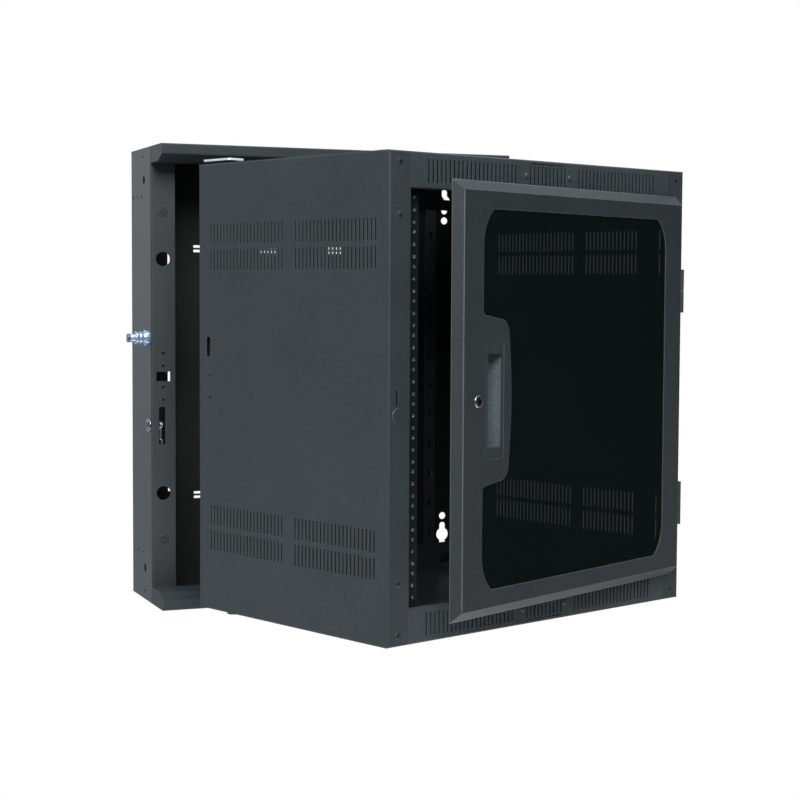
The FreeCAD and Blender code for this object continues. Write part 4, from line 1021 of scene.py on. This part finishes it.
class RACK_OT_set_stage(bpy.types.Operator):
    """Set the pale floor, the soft studio light and the camera"""
    bl_idname = "rack.set_stage"
    bl_label = "Set Stage"
    white = (1.0, 1.0, 1.0)
    # Where along Y the floor starts and ends to pass under the rack, and to lie well behind it
    floor_below = (-0.3, 0.3)
    floor_beyond = (2.2, 3.5)
    # Where the backdrop and the ceiling start and end, as coordinates of a direction of length one
    backdrop_along = (0.45, 1.0)
    backdrop_bow = 0.3
    ceiling_along = (-0.5, 0.2)
    ceiling_lift = (0.28, 0.52)
    # Each lamp's name, place, aim and width, and the property that holds its power
    lamps = (("soft_key", (-1.0, -3.2, 2.1), (0, -0.4, 0), 1.8, "key_power"),
             ("soft_top", (-0.3, -0.9, 2.8), (0, -0.4, 0), 2.0, "top_power"),
             ("soft_low", (0.15, -0.75, -1.15), (0.15, -0.7, 0), 1.2, "low_power"))

    def floor_paper(self, studio):
        """Pale paper that the camera sees as nearly white, and that is darker where it is mirrored."""
        bench, place = start_finish("studio_floor")
        seen, mirrored, through = rays(bench)
        cloud = noise(bench, place, studio.paper_cloud, detail=3.0)
        paper = blend(bench, cloud, studio.paper_dark, studio.paper_light)
        matte = bench.node("ShaderNodeBsdfDiffuse", {}, {"Color": paper})
        tint = blend(bench, mirrored, self.white, studio.room_tint)
        white = bench.node("ShaderNodeEmission", {}, {"Color": tint, "Strength": 1.0})
        level = bench.node("ShaderNodeVectorMath", {"operation": "MULTIPLY"}, {0: place, 1: (1, 1, 0)})
        away = bench.node("ShaderNodeVectorMath", {"operation": "LENGTH"}, {0: level}, "Value")
        away = away.within(studio.floor_near, studio.floor_far)
        along = coordinate(bench, place, "Y")
        under = along.within(*self.floor_below) * studio.floor_under
        beyond = along.within(*self.floor_beyond) * (studio.floor_behind - studio.floor_under)
        white_floor = studio.floor_white + away * (1 - studio.floor_white)
        share_white = seen.most(mirrored * (under + beyond)).most(through) * white_floor
        both = bench.node("ShaderNodeMixShader", {}, {0: share_white, 1: matte, 2: white})
        bench.node("ShaderNodeOutputMaterial", {}, {"Surface": both})

    def lay_floor(self, studio):
        """A wide floor that takes a soft shadow."""
        self.floor_paper(studio)
        reach = studio.floor_reach
        mesh = bpy.data.meshes.new("studio_floor")
        corners = [(x * reach, y * reach, -studio.floor_drop)
                   for x, y in ((-1, -1), (1, -1), (1, 1), (-1, 1))]
        mesh.from_pydata(corners, [], [range(len(corners))])
        mesh.materials.append(bpy.data.materials["studio_floor"])
        floor = bpy.data.objects.new("studio_floor", mesh)
        bpy.context.scene.collection.objects.link(floor)

    def light_room(self, studio):
        """White to the camera. In reflections, bright behind and overhead and dim elsewhere."""
        world = bpy.data.worlds.new("studio_room")
        world.use_nodes = True
        world.node_tree.nodes.clear()
        bench = Bench(world.node_tree)
        seen, mirrored, through = rays(bench)
        way = bench.node("ShaderNodeTexCoord", {}, {}, "Generated")
        along = coordinate(bench, way, "Y")
        lift = coordinate(bench, way, "Z")
        behind = (along + lift * lift * self.backdrop_bow).within(*self.backdrop_along)
        ceiling = lift.within(*self.ceiling_lift) * along.within(*self.ceiling_along)
        room = studio.room_dark + behind * (1 - studio.room_dark)
        room = room.most(ceiling * studio.room_ceiling)
        plain = (1 - seen.most(mirrored).most(through)) * studio.room_light
        strength = seen.most(through).most(mirrored * room) + plain
        tint = blend(bench, mirrored, self.white, studio.room_tint)
        back = bench.node("ShaderNodeBackground", {}, {"Color": tint, "Strength": strength})
        bench.node("ShaderNodeOutputWorld", {}, {"Surface": back})
        bpy.context.scene.world = world

    def hang_lamp(self, name, place, aim, width, watts):
        """A square soft light turned to a point."""
        lamp = bpy.data.lights.new(name, "AREA")
        lamp.shape = "SQUARE"
        lamp.size = width
        lamp.energy = watts
        made = bpy.data.objects.new(name, lamp)
        bpy.context.scene.collection.objects.link(made)
        made.location = place
        made.rotation_euler = (Vector(aim) - Vector(place)).to_track_quat("-Z", "Y").to_euler()

    def set_camera(self, studio):
        """The camera at the photograph's place and angle."""
        yaw, pitch, roll = studio.camera_yaw, studio.camera_pitch, studio.camera_roll
        level = math.cos(pitch)
        ahead = Vector((math.sin(yaw) * level, math.cos(yaw) * level, -math.sin(pitch)))
        right = Vector((math.cos(yaw), -math.sin(yaw), 0))
        down = ahead.cross(right)
        across = right * math.cos(roll) + down * math.sin(roll)
        below = down * math.cos(roll) - right * math.sin(roll)
        lens = bpy.data.cameras.new("studio_camera")
        lens.lens = studio.camera_lens
        camera = bpy.data.objects.new("studio_camera", lens)
        bpy.context.scene.collection.objects.link(camera)
        turn = Matrix((across, -below, -ahead)).transposed()
        camera.matrix_world = Matrix.Translation(studio.camera_place) @ turn.to_4x4()
        bpy.context.scene.camera = camera

    def execute(self, context):
        studio = context.scene.rack_studio
        self.lay_floor(studio)
        self.light_room(studio)
        for name, place, aim, width, held in self.lamps:
            self.hang_lamp(name, place, aim, width, getattr(studio, held))
        self.set_camera(studio)
        context.scene.view_settings.view_transform = "Standard"
        return {"FINISHED"}


STEPS = (RACK_OT_mix_finishes, RACK_OT_dress_sheets, RACK_OT_turn_latch, RACK_OT_turn_locks,
         RACK_OT_fit_shade_frame, RACK_OT_drive_screws, RACK_OT_tap_rails, RACK_OT_rim_holes,
         RACK_OT_stamp_knockouts, RACK_OT_round_fold, RACK_OT_set_stage)
GROUPS = {"rack_finishes": RackFinishes, "rack_fasteners": RackFasteners, "rack_turnings": RackTurnings,
          "rack_trim": RackShadeFrameAndBead, "rack_studio": RackStudio}


class RACK_PT_looks(bpy.types.Panel):
    """Lists the steps that dress the rack"""
    bl_idname = "RACK_PT_looks"
    bl_label = "Wall Rack"
    bl_space_type = "VIEW_3D"
    bl_region_type = "UI"
    bl_category = "Rack"

    def draw(self, context):
        for step in STEPS:
            self.layout.operator(step.bl_idname)
        for name, group in GROUPS.items():
            box = self.layout.box()
            box.label(text=group.__doc__)
            for key in group.__annotations__:
                box.prop(getattr(context.scene, name), key)


def register():
    """Make the groups, steps and panel known."""
    for group in GROUPS.values():
        bpy.utils.register_class(group)
    for name, group in GROUPS.items():
        setattr(bpy.types.Scene, name, bpy.props.PointerProperty(type=group))
    for step in (*STEPS, RACK_PT_looks):
        bpy.utils.register_class(step)


def unregister():
    """Take them away again."""
    for step in (RACK_PT_looks, *reversed(STEPS)):
        bpy.utils.unregister_class(step)
    for name, group in GROUPS.items():
        delattr(bpy.types.Scene, name)
        bpy.utils.unregister_class(group)


def main():
    """Dress the rack and set the stage."""
    register()
    bpy.ops.rack.mix_finishes()
    bpy.ops.rack.dress_sheets()
    bpy.ops.rack.turn_latch()
    bpy.ops.rack.turn_locks()
    bpy.ops.rack.fit_trim()
    bpy.ops.rack.drive_screws()
    bpy.ops.rack.tap_rails()
    bpy.ops.rack.rim_holes()
    bpy.ops.rack.stamp_knockouts()
    bpy.ops.rack.round_fold()
    bpy.ops.rack.set_stage()


if __name__ == "__main__":
    main()
